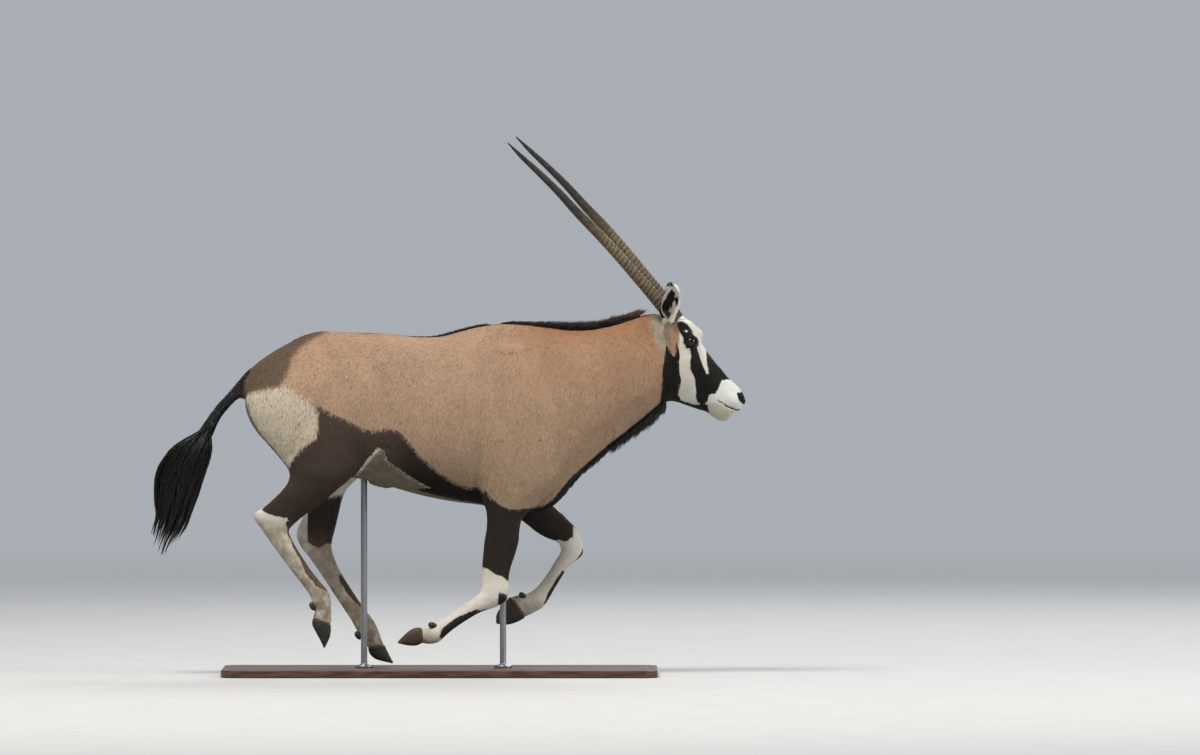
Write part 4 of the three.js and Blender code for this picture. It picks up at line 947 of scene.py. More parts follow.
    # the face
    q = to_head(P)
    hy = np.abs(q[:, 1]) * 1000
    fu_ = cu(q[:, 0]) - 0.0503 * hy
    fv_ = cv(q[:, 2]) + 0.0403 * hy
    face = inside(fu_, fv_, F_BAND)
    for m in (F_STRIPE, F_NOSE):
        face = np.maximum(face, inside(fu_, fv_, m))
    left = (q[:, 1] > 0.002) | (P[:, 1] > 0.02)
    brow = inside(fu_ + 2.2 * left, fv_, F_BROW)
    brow = np.where(left & (fv_ < 344), np.minimum(brow, (hy - 57) / 3.45), brow)
    face = np.maximum(face, brow)
    face = np.where(left & (fu_ > 690) & (fv_ < 352), np.minimum(face, (hy - 66) / 3.45), face)
    face = np.maximum(face, 2.2 - np.hypot(fu_ - 687.5, (fv_ - 316.5) * 1.0))
    face = np.maximum(face, np.minimum((14 - hy) / 3.45, (319.5 - fv_)))
    face = np.minimum(face, np.hypot(fu_ - 687, fv_ - 331) - 1.1)
    # the mouth line: the dark edge of the lips and painted shade in the slit of the mouth
    lip_edge_and_slit_shade = np.maximum(band(fu_, fv_, [(717, 401), (725, 405.8), (735, 410.2)], 0.45), band(fu_, fv_, [(723, 405), (729, 408.2), (736, 410.4), (741, 410.6)], 0.80))
    face = np.maximum(face, lip_edge_and_slit_shade)
    nearhead = (P[:, 0] > 0.72)
    hz = smooth(0.35, 0.65, hw) * nearhead
    out["black"] = np.where(nearhead, out["black"] * (1 - hz) + np.clip(face, -9, 9) * hz, out["black"])
    ring = inside(fu_, fv_, [(649, 312), (668, 305), (672.5, 316), (671, 326), (669, 335), (667.5, 341.5), (666, 350), (660, 352), (654, 340), (649.5, 328)])
    cheek = np.maximum(np.minimum(fu_ - 676.5, 40), -9)
    orange = inside(fu_, fv_, [(671.5, 317), (678, 318), (680, 328), (679.5, 340), (677.5, 350), (674.5, 357.5), (669.5, 351), (667, 344), (670, 333)])
    wf = np.minimum(cheek, -orange)
    wn = np.full(n, -9.0)
    soft["pale"] = np.where(P[:, 0] > 0.58, np.maximum(smooth(-4.5, 2.5, ring), 0.40 * smooth(-3, 2, orange)), 0)
    strap = np.where(nearhead & (fv_ > 340), inside(fu_, fv_, F_BAND), -9)
    out["black"] = np.maximum(out["black"], np.clip(strap, -9, 9))
    out["white"] = np.where(nearhead, np.maximum(out["white"], wn) * (1 - hz) + np.clip(wf, -9, 9) * hz, np.maximum(out["white"], wn))
    soft["warm"] = smooth(470, 560, u) * (1 - 0.55 * smooth(334, 352, v) - 0.45 * smooth(360, 420, v)) * (1 - legw) * (1 - hz) + hz * 0.30 * smooth(-1, 2, orange)
    # painted shade: the coat turns darker and greyer lower on the body
    soft["low"] = smooth(375, 470, v)
    soft["umber"] = np.where(hindk | (kind == 0), 1 - 0.42 * smooth(452, 505, v) - 0.72 * smooth(385, 420, u) - smooth(470, 520, u), np.where(forek, 0.30, 0)).clip(0, 1)
    soft["mud_and_belly_shade"] = np.where(hindk, smooth(0.82, 0.95, tl), np.where(forek, 0.65 * smooth(0.86, 0.97, tl), 0))
    soft["mud_and_belly_shade"] = np.maximum(soft["mud_and_belly_shade"], np.where(hindk, 0.72 * smooth(0.46, 0.56, tl) + 0.20 * smooth(0.66, 0.85, tl), 0))
    soft["mud_and_belly_shade"] = np.maximum(soft["mud_and_belly_shade"], np.where(forek, 0.12 * smooth(0.60, 0.9, tl), 0))
    # painted shade: the pale belly is darkened to an olive brown, held as negative values of the weight that carries
    # the mud on the legs
    soft["mud_and_belly_shade"] = np.where((kind == 0) & (u > 345) & (u < 505) & (v > 440), -smooth(-0.5, 1.5, wht - 2 * np.maximum(seam + 1.5, 0)), soft["mud_and_belly_shade"])
    soft["muzzle"] = hz * smooth(0.11, 0.17, head)
    # painted shade: the white of the lower jaw and chin is dimmed to an olive grey
    soft["painted_jaw_shade"] = hz * smooth(399, 411, fv_ - 0.55 * np.maximum(fu_ - 722, 0)) 
    return out, soft, lieleg, legw, hw


EAR_ROOT = {s: hp(671.5, 326, 56 * s) for s in (-1, 1)}
EAR_UP = {s: unit(hp(675.5, 298, 78 * s) - hp(671.5, 326, 56 * s)) for s in (-1, 1)}


def lie_of(P, N, lieleg, legw, hw):
    """the way the hair lies"""
    u, v = cu(P[:, 0]), cv(P[:, 2])
    d = np.zeros_like(P)
    back = np.array([-0.42, 0, -1.0])
    top = smooth(0.55, 0.95, N[:, 2])
    d += back
    d += top[:, None] * np.array([-1.6, 0, 0.9])
    d += (smooth(-0.5, -0.9, N[:, 2]))[:, None] * np.array([-1.2, 0, 0.6])
    # the neck: forward along its ridge, up to the mane above it
    ur = np.array([480, 505, 530, 551, 593, 600, 625, 640, 665])
    vr = np.array([331, 330, 338, 342, 342, 340, 335, 330, 326])
    rv = np.interp(u, ur, vr)
    neck = smooth(496, 530, u)
    s = (v - rv)
    fwd = np.stack([np.ones(len(u)), np.zeros(len(u)), np.zeros(len(u))], 1)
    upf = np.array([0.75, 0, 0.9])
    dnf = np.array([0.35, 0, -1.0])
    w_on = np.exp(-(s / 3.0) ** 2)
    w_up = smooth(-1.5, -6, s)
    w_dn = smooth(1.5, 6, s) * (1 - smooth(14, 40, s))
    nd = fwd * w_on[:, None] * 1.4 + upf * w_up[:, None] + dnf * w_dn[:, None] + np.array([-0.30, 0, -1.0]) * smooth(14, 40, s)[:, None]
    d = d * (1 - neck)[:, None] + nd * neck[:, None]
    d = d + np.array([0.0, 0, -1.0]) * (neck * (1 - neck) * 4.4)[:, None]
    butt = smooth(300, 262, u) * smooth(380, 400, v)
    d = d * (1 - butt)[:, None] + np.array([0.35, 0, -1.0]) * butt[:, None]
    ll = unit(lieleg + 1e-9)
    lw = smooth(0.1, 0.8, legw)[:, None]
    d = unit(d) * (1 - lw) + ll * lw
    tail = smooth(262, 244, u)[:, None] * (P[:, 2] > 0.84)[:, None]
    d = d * (1 - tail) + unit(np.array([-0.75, 0, -0.65])) * tail
    hb = -HEAD_AXIS @ HEAD_R.T
    d = d * (1 - hw)[:, None] + (unit(hb + np.array([0, 0, -0.35])))[None] * hw[:, None]
    for s in (-1, 1):
        near_ = np.exp(-(np.linalg.norm(P - EAR_ROOT[s], axis=1) / 0.026) ** 2)[:, None]
        d = d * (1 - near_) + EAR_UP[s] * near_
    d = d - (d * N).sum(1, keepdims=True) * N
    return unit(d + 1e-9)


# =====================================================================
# unwrap of the skin's own shape: one cylinder a part, cut underneath
# =====================================================================
TORSO_S = sections(through(TORSO_R, np.linspace(0, 1, 401)))
KEYS = list(LEG_R)
RECTS = [(0.008, 0.008, 0.600, 0.560, 0), (0.620, 0.008, 0.372, 0.500, 0),
         (0.008, 0.580, 0.140, 0.412, 1), (0.156, 0.580, 0.140, 0.412, 1), (0.304, 0.580, 0.140, 0.412, 1),
         (0.452, 0.580, 0.140, 0.412, 1), (0.610, 0.780, 0.100, 0.212, 1)]
EAR_RECTS = {-1: (0.620, 0.520, 0.180, 0.240), 1: (0.812, 0.520, 0.180, 0.240)}


def part_of(P):
    f = np.stack([np.clip(A.sample(P, A_TORSO), -0.048, 0.048) + 0.002, value_in(A_HEAD, P)]
                 + [value_in(A_LEG[k], P) for k in KEYS] + [value_in(A_DOCK, P)], 1)
    f[:, 2:][:, :] += 0.0
    f[(P[:, 0] < 0.70), 1] = 1
    f[(P[:, 0] > -0.60) | (P[:, 2] < 0.84), 6] = 1
    return np.argmin(f, 1)


def unwrap(P, part):
    """(share along, turn about the axis) of points taken as lying on that part"""
    a = np.zeros(len(P))
    b = np.zeros(len(P))
    for k in range(7):
        i = np.nonzero(part == k)[0]
        if not len(i):
            continue
        p = P[i]
        if k == 0:
            u = cu(p[:, 0])
            zc = np.interp(p[:, 0], TORSO_S[:, 0], TORSO_S[:, 1] - 0.5 * (TORSO_S[:, 5] - TORSO_S[:, 4]))
            a[i] = (u - 234) / (684 - 234)
            b[i] = np.arctan2(p[:, 1], p[:, 2] - zc) / (2 * np.pi)
        elif k == 1:
            q = to_head(p) - np.array([float(cx(668)), 0, float(cz(350))])
            a[i] = (q @ HEAD_AXIS + 0.05) / 0.39
            b[i] = np.arctan2(q[:, 1], q @ np.array([-HEAD_AXIS[2], 0, HEAD_AXIS[0]]) + 0.012) / (2 * np.pi)
        else:
            S = LEG_S[KEYS[k - 2]] if k < 6 else DOCK_S
            t, q, y = along(S, p)
            j = (t * (len(S) - 1)).astype(int)
            a[i] = t
            b[i] = np.arctan2(y / S[j, 6], q) / (2 * np.pi)
    return a, b


def in_rect(part, a, b):
    uv = np.zeros((len(part), 2))
    for k, (u0, v0, du, dv, upright) in enumerate(RECTS):
        i = part == k
        s = 0.02 + 0.96 * np.clip(a[i], 0, 1)
        r = 0.5 + 0.94 * b[i]
        uv[i] = np.stack([u0 + du * r, v0 + dv * s], 1) if upright else np.stack([u0 + du * s, v0 + dv * r], 1)
    return uv


# =====================================================================
# meshes
# =====================================================================
COLL = bpy.context.scene.collection


def make(name, V, groups, smooth_=True, vectors=None, uv=None):
    me = bpy.data.meshes.new(name)
    groups = [np.asarray(g_, np.int32) for g_ in groups if len(g_)]
    loops = np.concatenate([g_.ravel() for g_ in groups])
    counts = np.concatenate([np.full(len(g_), g_.shape[1]) for g_ in groups])
    starts = np.concatenate([[0], np.cumsum(counts)[:-1]])
    me.vertices.add(len(V))
    me.vertices.foreach_set("co", np.asarray(V, np.float32).ravel())
    me.loops.add(len(loops))
    me.loops.foreach_set("vertex_index", loops)
    me.polygons.add(len(counts))
    me.polygons.foreach_set("loop_start", starts.astype(np.int32))
    me.polygons.foreach_set("use_smooth", np.full(len(counts), bool(smooth_)))
    me.update(calc_edges=True)
    for k, a in (vectors or {}).items():
        at = me.attributes.new(k, "FLOAT_VECTOR", "POINT")
        at.data.foreach_set("vector", np.ascontiguousarray(a, dtype=np.float32).ravel())
    if uv is not None:
        layer = me.uv_layers.new(name="OFBake")
        layer.data.foreach_set("uv", np.ascontiguousarray(uv, dtype=np.float32).ravel())
    ob = bpy.data.objects.new(name, me)
    COLL.objects.link(ob)
    return ob


def pack(m, s, tint):
    """the markings as four vectors of a mesh"""
    return {"mark_a": np.stack([m["black"], m["white"], m["brown"]], 1),
            "mark_b": np.stack([m["grey"], m["painted_rear_shade"], tint], 1),
            "soft_a": np.stack([s["warm"], s["low"], s["mud_and_belly_shade"]], 1),
            "soft_b": np.stack([s["muzzle"], np.maximum(s["painted_jaw_shade"], s["pale"] * 2 + s["painted_jaw_shade"]), s["umber"]], 1)}


# ---------------------------------------------------------------- ears
def turn_about(u, v, deg, short):
    a, b = u - 671.5, (v - 326) * short
    c, s = math.cos(math.radians(deg)), math.sin(math.radians(deg))
    return 671.5 + a * c + b * s, 326 - a * s + b * c


def ear_rows(side):
    rows = []
    for fu, fv, ru, rv, b, y in EAR:
        deg, short, out = (20, 0.84, 1.6) if side > 0 else (0, 1, 1)
        f, r = turn_about(fu, fv, deg, short), turn_about(ru, rv, deg, short)
        rows.append([f[0], f[1], r[0], r[1], b, -side * (-62 + (y + 62) * out)])
    return rows


def ear(side):
    n, m = 44, 30
    t = np.concatenate([[-0.10, -0.05], np.linspace(0.0, 1.0, n) ** 0.92])
    t = np.minimum(t, 0.992)
    R = table(ear_rows(side))
    S = sections(through(R, np.clip(t, 0, 1)))
    # the root goes on down into the head
    d0 = S[2, :2] - S[8, :2]
    d0 = d0 / np.linalg.norm(d0)
    for i in (0, 1):
        S[i, 0] += d0[0] * (0.020 if i == 0 else 0.010)
        S[i, 1] += d0[1] * (0.020 if i == 0 else 0.010)
        S[i, 4:7] *= 0.96
    half = np.interp(t, [-0.1, 0.0, 0.16, 0.30, 0.48, 0.7, 0.9, 1.0], [179, 179, 176, 142, 116, 98, 90, 84]) * math.pi / 180
    slim = np.interp(t, [-0.1, 0.0, 0.16, 0.34], [0.62, 0.70, 0.88, 1.0])
    S[:, 4:7] *= slim[:, None]
    S[:, 7] -= side * np.interp(t, [-0.1, 0.0, 0.16, 0.34], [0.020, 0.010, 0.004, 0.0])
    s = np.linspace(-1, 1, m)
    V, marks, layer, uv = [], [], [], []
    rect = EAR_RECTS[side]
    thick = np.interp(t, [0, 0.3, 1.0], [0.0036, 0.0030, 0.0020])
    tipf = np.sqrt(np.clip(1 - ((t - 0.80) / 0.20).clip(0, 1) ** 2, 0.0, 1))
    for lay in (0, 1):
        for i in range(len(t)):
            th = s * half[i]
            wf = (S[i, 4] + S[i, 5]) / 2 * (0.25 + 0.75 * tipf[i]) - (thick[i] if lay else 0)
            wb = S[i, 6] * 1.02 - (thick[i] if lay else 0)
            # the back of the cup faces inwards; the rims curl out
            lob = np.cos(th)
            off = np.sin(th)
            X = S[i, 0] + S[i, 2] * wf * off
            Z = S[i, 1] + S[i, 3] * wf * off
            Y = S[i, 7] - side * wb * lob
            V.append(np.stack([X, Y, Z], 1))
            fold = 0.0009 * np.sin(s * 9 + t[i] * 5) * (1 if lay else 0)
            V[-1][:, 1] += fold * side
            marks.append(np.stack([np.full(m, t[i]), s, np.full(m, lay)], 1))
            uv.append(np.stack([rect[0] + rect[2] * (0.01 + 0.48 * (s + 1) / 2 + 0.5 * lay),
                                np.full(m, rect[1] + rect[3] * (0.04 + 0.92 * (t[i] + 0.1) / 1.1))], 1))
    V = np.concatenate(V)
    M = np.concatenate(marks)
    U = np.concatenate(uv)
    k = len(t)
    i = np.arange(k - 1)[:, None] * m
    j = np.arange(m - 1)[None]
    outer = np.stack([i + j, i + j + 1, i + m + j + 1, i + m + j], 2).reshape(-1, 4)
    off = k * m
    inner_ = outer[:, ::-1] + off
    e = np.arange(k - 1) * m
    rim0 = np.stack([e, e + m, e + m + off, e + off], 1)
    rim1 = np.stack([e + m - 1, e + m - 1 + off, e + 2 * m - 1 + off, e + 2 * m - 1], 1)
    jj = np.arange(m - 1)
    top = (k - 1) * m
    tip = np.stack([top + jj, top + jj + 1, top + jj + 1 + off, top + jj + off], 1)
    root = np.stack([jj + 1, jj, jj + off, jj + 1 + off], 1)
    Q = np.concatenate([outer, inner_, rim0, rim1, tip, root])
    c = V.mean(0)
    vol = np.einsum("ij,ij->i", V[Q[:, 0]] - c, np.cross(V[Q[:, 1]] - c, V[Q[:, 2]] - c)).sum() + np.einsum(
        "ij,ij->i", V[Q[:, 0]] - c, np.cross(V[Q[:, 2]] - c, V[Q[:, 3]] - c)).sum()
    if vol < 0:
        Q = Q[:, ::-1]
    return to_world(V), Q, M, U


def ear_marks(M, side):
    t, s, lay = M.T
    n = len(t)
    rear = -s      # the front rim is at s = 1
    m = {k: np.full(n, -9.0) for k in ("black", "white", "brown", "grey", "painted_rear_shade")}
    so = {k: np.zeros(n) for k in ("warm", "low", "mud_and_belly_shade", "leg", "head", "umber", "pale", "muzzle", "painted_jaw_shade")}
    m["white"][:] = 4.0
    out_b = np.maximum(np.minimum((rear - 0.62) * 9, (t - 0.22) * 14), (t - 0.90) * 26)
    in_b = np.minimum((np.interp(t, [0.2, 0.45, 0.7, 0.85], [0.16, 0.34, 0.34, 0.16]) - np.abs(s + np.interp(t, [0.2, 0.5, 0.85], [0.34, 0.22, 0.02]))) * 8, (t - 0.30) * 12)
    in_b = np.minimum(in_b, (0.84 - t) * 12)
    in_b = np.maximum(in_b, np.minimum((0.15 - np.abs(s - 0.40 - 0.5 * (0.55 - t))) * 7, (0.11 - np.abs(t - 0.52)) * 16))
    m["black"] = np.where(lay > 0.5, np.maximum(in_b, (t - 0.955) * 26), out_b)
    return m, so


# =====================================================================
# the skin object: body and ears, with its markings
# =====================================================================
N_SKIN = unit(slope(V))
MARK, SOFT, LIELEG, LEGW, HEADW = markings(V, N_SKIN)
SKIN_VEC = pack(MARK, SOFT, np.zeros(len(V)))
faces4, faces3 = quads, tris
allf = [faces4, faces3]
uv_parts = []
for F in allf:
    if not len(F):
        continue
    cen = V[F].mean(1)
    part = part_of(cen)
    k = F.shape[1]
    pa = np.repeat(part, k)
    a, b = unwrap(V[F].reshape(-1, 3), pa)
    b = b.reshape(-1, k)
    b = b[:, :1] + (b - b[:, :1] + 0.5) % 1.0 - 0.5
    b = np.where((b.mean(1) > 0.5)[:, None], b - 1, np.where((b.mean(1) < -0.5)[:, None], b + 1, b))
    uv_parts.append(in_rect(pa, a, b.ravel()))
EARS = {s: ear(s) for s in (-1, 1)}
sv, sq = [V], [quads]
vec = {k: [a] for k, a in SKIN_VEC.items()}
count = len(V)
ear_faces, ear_uv = [], []
for s in (-1, 1):
    ev, eq, em, eu = EARS[s]
    mm, so = ear_marks(em, s)
    for k, a in pack(mm, so, np.zeros(len(ev))).items():
        vec[k].append(a)
    sv.append(ev)
    ear_faces.append(eq + count)
    ear_uv.append(eu[eq.ravel()])
    count += len(ev)
groups = [quads] + ([tris] if len(tris) else []) + ear_faces
uv = np.concatenate(uv_parts + ear_uv)
skin = make("skin", np.vstack(sv), groups, True, {k: np.vstack(a) for k, a in vec.items()}, uv)
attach(skin, "root")
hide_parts(*[n for n in NODES if n.split("_")[0] in ("trunk", "neck", "head", "ear", "hindleg", "foreleg") or n == "tail"])

# =====================================================================
# the coat: flat pointed tufts
# =====================================================================
TRI = np.concatenate([quads[:, [0, 1, 2]], quads[:, [0, 2, 3]]] + ([tris] if len(tris) else []))
TC = V[TRI].mean(1)
TA = np.linalg.norm(np.cross(V[TRI[:, 1]] - V[TRI[:, 0]], V[TRI[:, 2]] - V[TRI[:, 0]]), axis=1) / 2
HEADT = HEADW[TRI].mean(1)
LEGT = LEGW[TRI].mean(1)


def scatter(mask, count, weight=None):
    w = TA * mask * (1 if weight is None else weight)
    pick = RNG.choice(len(TRI), count, p=w / w.sum())
    r = RNG.random((count, 2))
    r1 = np.sqrt(r[:, 0])
    bc = np.stack([1 - r1, r1 * (1 - r[:, 1]), r1 * r[:, 1]], 1)
    return pick, bc


def lerp_at(A_, pick, bc):
    return (A_[TRI[pick]] * (bc[:, :, None] if A_.ndim > 1 else bc)).sum(1)


def spikes(P, N, D, L, W, lift, rise):
    B_ = np.cross(N, D)
    root = P - N * 0.0010
    c, s = np.cos(lift)[:, None], np.sin(lift)[:, None]
    L, W, rise = L[:, None], W[:, None], rise[:, None]
    a = root - B_ * W / 2
    b = root + B_ * W / 2
    m = root + D * L * 0.34 * c + N * (L * 0.34 * s + rise)
    tip = root + D * L * c + N * L * s
    Vt = np.stack([a, b, m, tip], 1).reshape(-1, 3)
    i = np.arange(len(P))[:, None] * 4
    T = np.concatenate([i + [0, 3, 2], i + [2, 3, 1], i + [0, 2, 1], i + [0, 1, 3]], 1).reshape(-1, 3)
    return Vt, T


def coat_piece(name, mask, count, length, width, lift, rise, weight=None, jitter=0.32):
    pick, bc = scatter(mask, count, weight)
    P = lerp_at(V, pick, bc)
    N = unit(lerp_at(N_SKIN, pick, bc))
    mk = {k: lerp_at(a, pick, bc) for k, a in MARK.items()}
    so = {k: lerp_at(a, pick, bc) for k, a in SOFT.items()}
    D = lie_of(P, N, lerp_at(LIELEG, pick, bc), lerp_at(LEGW, pick, bc), lerp_at(HEADW, pick, bc))
    D = unit(D + np.cross(N, D) * RNG.normal(0, jitter * 0.5, (count, 1)))
    tint = RNG.normal(0, 0.85, count).clip(-2.3, 2.3)
    for k, far_ in (("black", 0.30), ("white", 0.30), ("brown", 1.3), ("grey", 1.6)):
        mk[k] = mk[k] + RNG.normal(0, far_, count)
    size = RNG.uniform(0.75, 1.25, count)
    root_ = np.minimum(np.linalg.norm(P - EAR_ROOT[-1], axis=1), np.linalg.norm(P - EAR_ROOT[1], axis=1))
    size = size * (1 + (2.0 if length < 0.01 else 0.5) * np.exp(-(root_ / 0.026) ** 2))
    Vt, T = spikes(P, N, D, length * size, width * RNG.uniform(0.8, 1.2, count), np.radians(lift) * RNG.uniform(0.5, 1.5, count),
                   rise * np.ones(count))
    part = part_of(P)
    a, b = unwrap(P, part)
    uv = in_rect(part, a, b)
    off = np.array([[-1, -1], [1, -1], [0, 0.4], [0, 1.2]]) * 0.0014
    uvt = (uv[:, None] + off[None]).reshape(-1, 2)
    rep = lambda q: np.repeat(q, 4)
    vec_ = {k: np.repeat(a_, 4, axis=0) for k, a_ in pack(mk, so, tint).items()}
    # every tuft is darker at its root and paler at its tip
    vec_["mark_b"][:, 2] += np.tile([-1.15, -1.15, 0.25, 0.95], count) * RNG.uniform(0.6, 1.2, count).repeat(4)
    ob = make(name, Vt, [T], False, vec_, uvt[T.ravel()])
    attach(ob, "root")
    return ob


away = np.ones(len(TRI), bool)
for s in (-1, 1):
    away &= np.linalg.norm(TC - EYE_C[s], axis=1) > 0.0265
hd = along_head(TC)
soft_nose = (hd > 0.275) & (TC[:, 0] > 0.85)
lowm = (LEGT >= 0.5) & (TC[:, 2] < float(cz(499)))
tan_ = np.maximum(MARK["black"], MARK["white"])[TRI].mean(1) < -1.2
trunkm = ~lowm & ((HEADT < 0.5) | (tan_ & (HEADT < 1.1) & (along_head(TC) < 0.03))) & away
rightm = TC[:, 1] < 0
COATS = []
for nm, m, cnt in (("coat_fore_right", trunkm & rightm & (TC[:, 0] > 0.0), 36000), ("coat_fore_left", trunkm & ~rightm & (TC[:, 0] > 0.0), 36000),
                   ("coat_hind_right", trunkm & rightm & (TC[:, 0] <= 0.0), 34000), ("coat_hind_left", trunkm & ~rightm & (TC[:, 0] <= 0.0), 34000)):
    COATS.append(coat_piece(nm, m, cnt, 0.0150, 0.0033, 6.0, 0.0006))
COATS.append(coat_piece("coat_legs", lowm, 35000, 0.0095, 0.0019, 8.0, 0.0005))
COATS.append(coat_piece("coat_head", (HEADT >= 0.5) & away & ~soft_nose, 36000, 0.0066, 0.0016, 8.0, 0.00035))


# ---------------------------------------------------------------- long hair
def locks(paths, radius, sides=3, flat=1.0, seed=0):
    """closed tapering strands along paths (n, k, 3); radius (n,) at the root"""
    n, k = paths.shape[:2]
    T = unit(np.gradient(paths, axis=1))
    ref = np.array([0.13, 0.97, 0.21])
    B1 = unit(np.cross(T, ref))
    B2 = np.cross(T, B1)
    s = np.linspace(0, 1, k)
    prof = np.interp(s, [0, 0.12, 0.55, 0.85, 1], [0.75, 1.0, 0.85, 0.45, 0.04])
    ang = np.arange(sides) * 2 * np.pi / sides
    R = radius[:, None, None, None] * prof[None, :, None, None]
    Vr = paths[:, :, None] + R * (np.cos(ang)[None, None, :, None] * B1[:, :, None] * flat + np.sin(ang)[None, None, :, None] * B2[:, :, None])
    V_ = Vr.reshape(-1, 3)
    base = (np.arange(n) * k * sides)[:, None, None]
    i = (np.arange(k - 1) * sides)[None, :, None]
    j = np.arange(sides)[None, None]
    j2 = (j + 1) % sides
    Q = np.stack(np.broadcast_arrays(base + i + j, base + i + j2, base + i + sides + j2, base + i + sides + j), 3).reshape(-1, 4)
    T0 = np.stack([base[:, 0, 0] + 2, base[:, 0, 0] + 1, base[:, 0, 0]], 1)
    e = base[:, 0, 0] + (k - 1) * sides
    T1 = np.stack([e, e + 1, e + 2], 1)
    caps = np.concatenate([T0, T1]) if sides == 3 else np.zeros((0, 3), int)
    c = V_[Q[0]].mean(0)
    nrm = np.cross(V_[Q[0, 1]] - V_[Q[0, 0]], V_[Q[0, 3]] - V_[Q[0, 0]])
    if nrm @ (c - paths[0, :2].mean(0)) < 0:
        Q, caps = Q[:, ::-1], caps[:, ::-1]
    return V_, Q, caps, k * sides


def hair_piece(name, paths, radius, tone, rootuv, flat=1.0, tips=0.0):
    V_, Q, caps, per = locks(paths, radius, flat=flat)
    n = len(paths)
    k = paths.shape[1]
    tone = np.repeat(tone, per)
    share = np.tile(np.repeat(np.linspace(0, 1, k), 3), n)
    uv = np.repeat(rootuv, per, axis=0) + np.stack([np.tile(np.tile([-1, 0, 1], k), n) * 0.0012, (share - 0.5) * 0.003], 1)
    ob = make(name, V_, [Q, caps], True, {"strand": np.stack([tone, share, np.repeat(np.broadcast_to(tips, (n,)), per)], 1)},
              np.concatenate([uv[Q.ravel()], uv[caps.ravel()]]))
    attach(ob, "root")
    return ob


def thin(n):
    return n


def root_uv(P):
    part = part_of(P)
    a, b = unwrap(P, part)
    return in_rect(part, a, b)


def crest_height(u):
    return np.interp(u, [486, 500, 520, 536, 552, 570, 588, 604, 618, 630, 641, 648],
                     [2, 5, 7.5, 10, 14, 19, 23, 27, 27, 24, 16, 9]) / 1000 * 1.5


# mane: locks up and forward, in clumps towards the head
n = thin(2600)
u = RNG.uniform(500, 638, n)
w = 0.0085 * np.interp(u, [500, 540, 600, 648], [0.5, 0.85, 1.0, 0.7])
yy = RNG.normal(0, 1, n).clip(-1.6, 1.6) * w * 0.55
clump = np.floor(u / 2.6)
cph = np.sin(clump * 12.9898) * 43758.5453
cph = cph - np.floor(cph)
top = np.interp(u, [r[0] for r in TORSO], [r[1] for r in TORSO])
P0 = to_surface(np.stack([cx(u), yy, cz(top) + 0.004], 1), 0.0045)
hgt = crest_height(u) * RNG.uniform(0.60, 1.10, n) * (0.68 + 0.50 * cph)
lean = np.radians(np.interp(u, [500, 560, 600, 648], [68, 48, 40, 36]) + RNG.normal(0, 9, n) + (cph - 0.5) * 16)
k = 7
s_ = np.linspace(0, 1, k)[None, :, None]
dirs = np.stack([np.sin(lean), yy / 0.02 * 0.5 + RNG.normal(0, 0.10, n), np.cos(lean)], 1)
dirs = unit(dirs)
fwd = np.array([1.0, 0, 0.12])
L = (hgt / np.maximum(dirs[:, 2], 0.35))[:, None, None]
pull = ((clump + 0.5) * 2.6 - u)[:, None, None] * UNIT * 0.55
paths = P0[:, None] - N_SKIN[:1, None] * 0 + L * (dirs[:, None] * s_ + fwd * 0.22 * s_ ** 2) + np.array([1.0, 0, 0]) * pull * s_
paths[:, 0, 2] -= 0.003
MANE = hair_piece("mane_locks", paths, RNG.uniform(0.0009, 0.0015, n), RNG.random(n), root_uv(P0),
                  tips=(smooth(572, 640, u) * RNG.random(n) ** 1.4 * 0.95).clip(0, 1))
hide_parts("mane")

# dark line along the back
n = thin(2400)
u = RNG.uniform(298, 520, n)
yy = RNG.normal(0, 0.0045, n)
top = np.interp(u, [r[0] for r in TORSO], [r[1] for r in TORSO])
P0 = to_surface(np.stack([cx(u), yy, cz(top) + 0.004], 1), 0.0050)
s_ = np.linspace(0, 1, 5)[None, :, None]
sgn = np.where(u < 492, -1.0, 1.0)
dirs = unit(np.stack([sgn, RNG.normal(0, 0.15, n), 0.02 + RNG.random(n) * 0.16 + np.interp(u, [298, 340, 400, 470], [0.5, 0.1, 0.0, -0.12]) * sgn], 1))
paths = P0[:, None] + dirs[:, None] * s_ * RNG.uniform(0.016, 0.026, n)[:, None, None]
hair_piece("back_line_locks", paths, RNG.uniform(0.0010, 0.0014, n), RNG.random(n), root_uv(P0))

# throat fringe: black hair hanging back from the throat and lower neck
n = thin(3500)
FR = np.array([[558, 499, 6], [565, 496, 9], [575.4, 484, 9], [586, 474.5, 10], [597, 463, 13], [607.7, 451.5, 18], [620, 440, 20],
               [631, 430.5, 22], [638.5, 424, 24], [646, 418, 25], [654, 411, 26], [661, 405.5, 25], [666, 400, 17]], float)
t = np.sort(RNG.uniform(0, len(FR) - 1.001, n))
i = t.astype(int)
f_ = (t - i)[:, None]
row = FR[i] * (1 - f_) + FR[i + 1] * f_
yy = RNG.normal(0, 1, n).clip(-1.8, 1.8) * 0.0085
P0 = to_surface(np.stack([cx(row[:, 0]), yy, cz(row[:, 1]) + 0.004], 1), 0.0045)
clump = np.floor(t * 4.5)
cph = np.sin(clump * 78.233) * 43758.5453
cph = cph - np.floor(cph)
L = row[:, 2] * UNIT * RNG.uniform(0.62, 1.0, n) * (0.80 + 0.24 * cph) * 0.92
ang = np.radians(np.interp(row[:, 0], [558, 600, 640, 666], [228, 236, 246, 262]) + RNG.normal(0, 7, n) + (cph - 0.5) * 18)
d0 = np.stack([np.cos(ang), yy * 14 + RNG.normal(0, 0.10, n), np.sin(ang)], 1)
k = 8
s_ = np.linspace(0, 1, k)[None, :, None]
bend = np.array([-0.42, 0, -0.05])
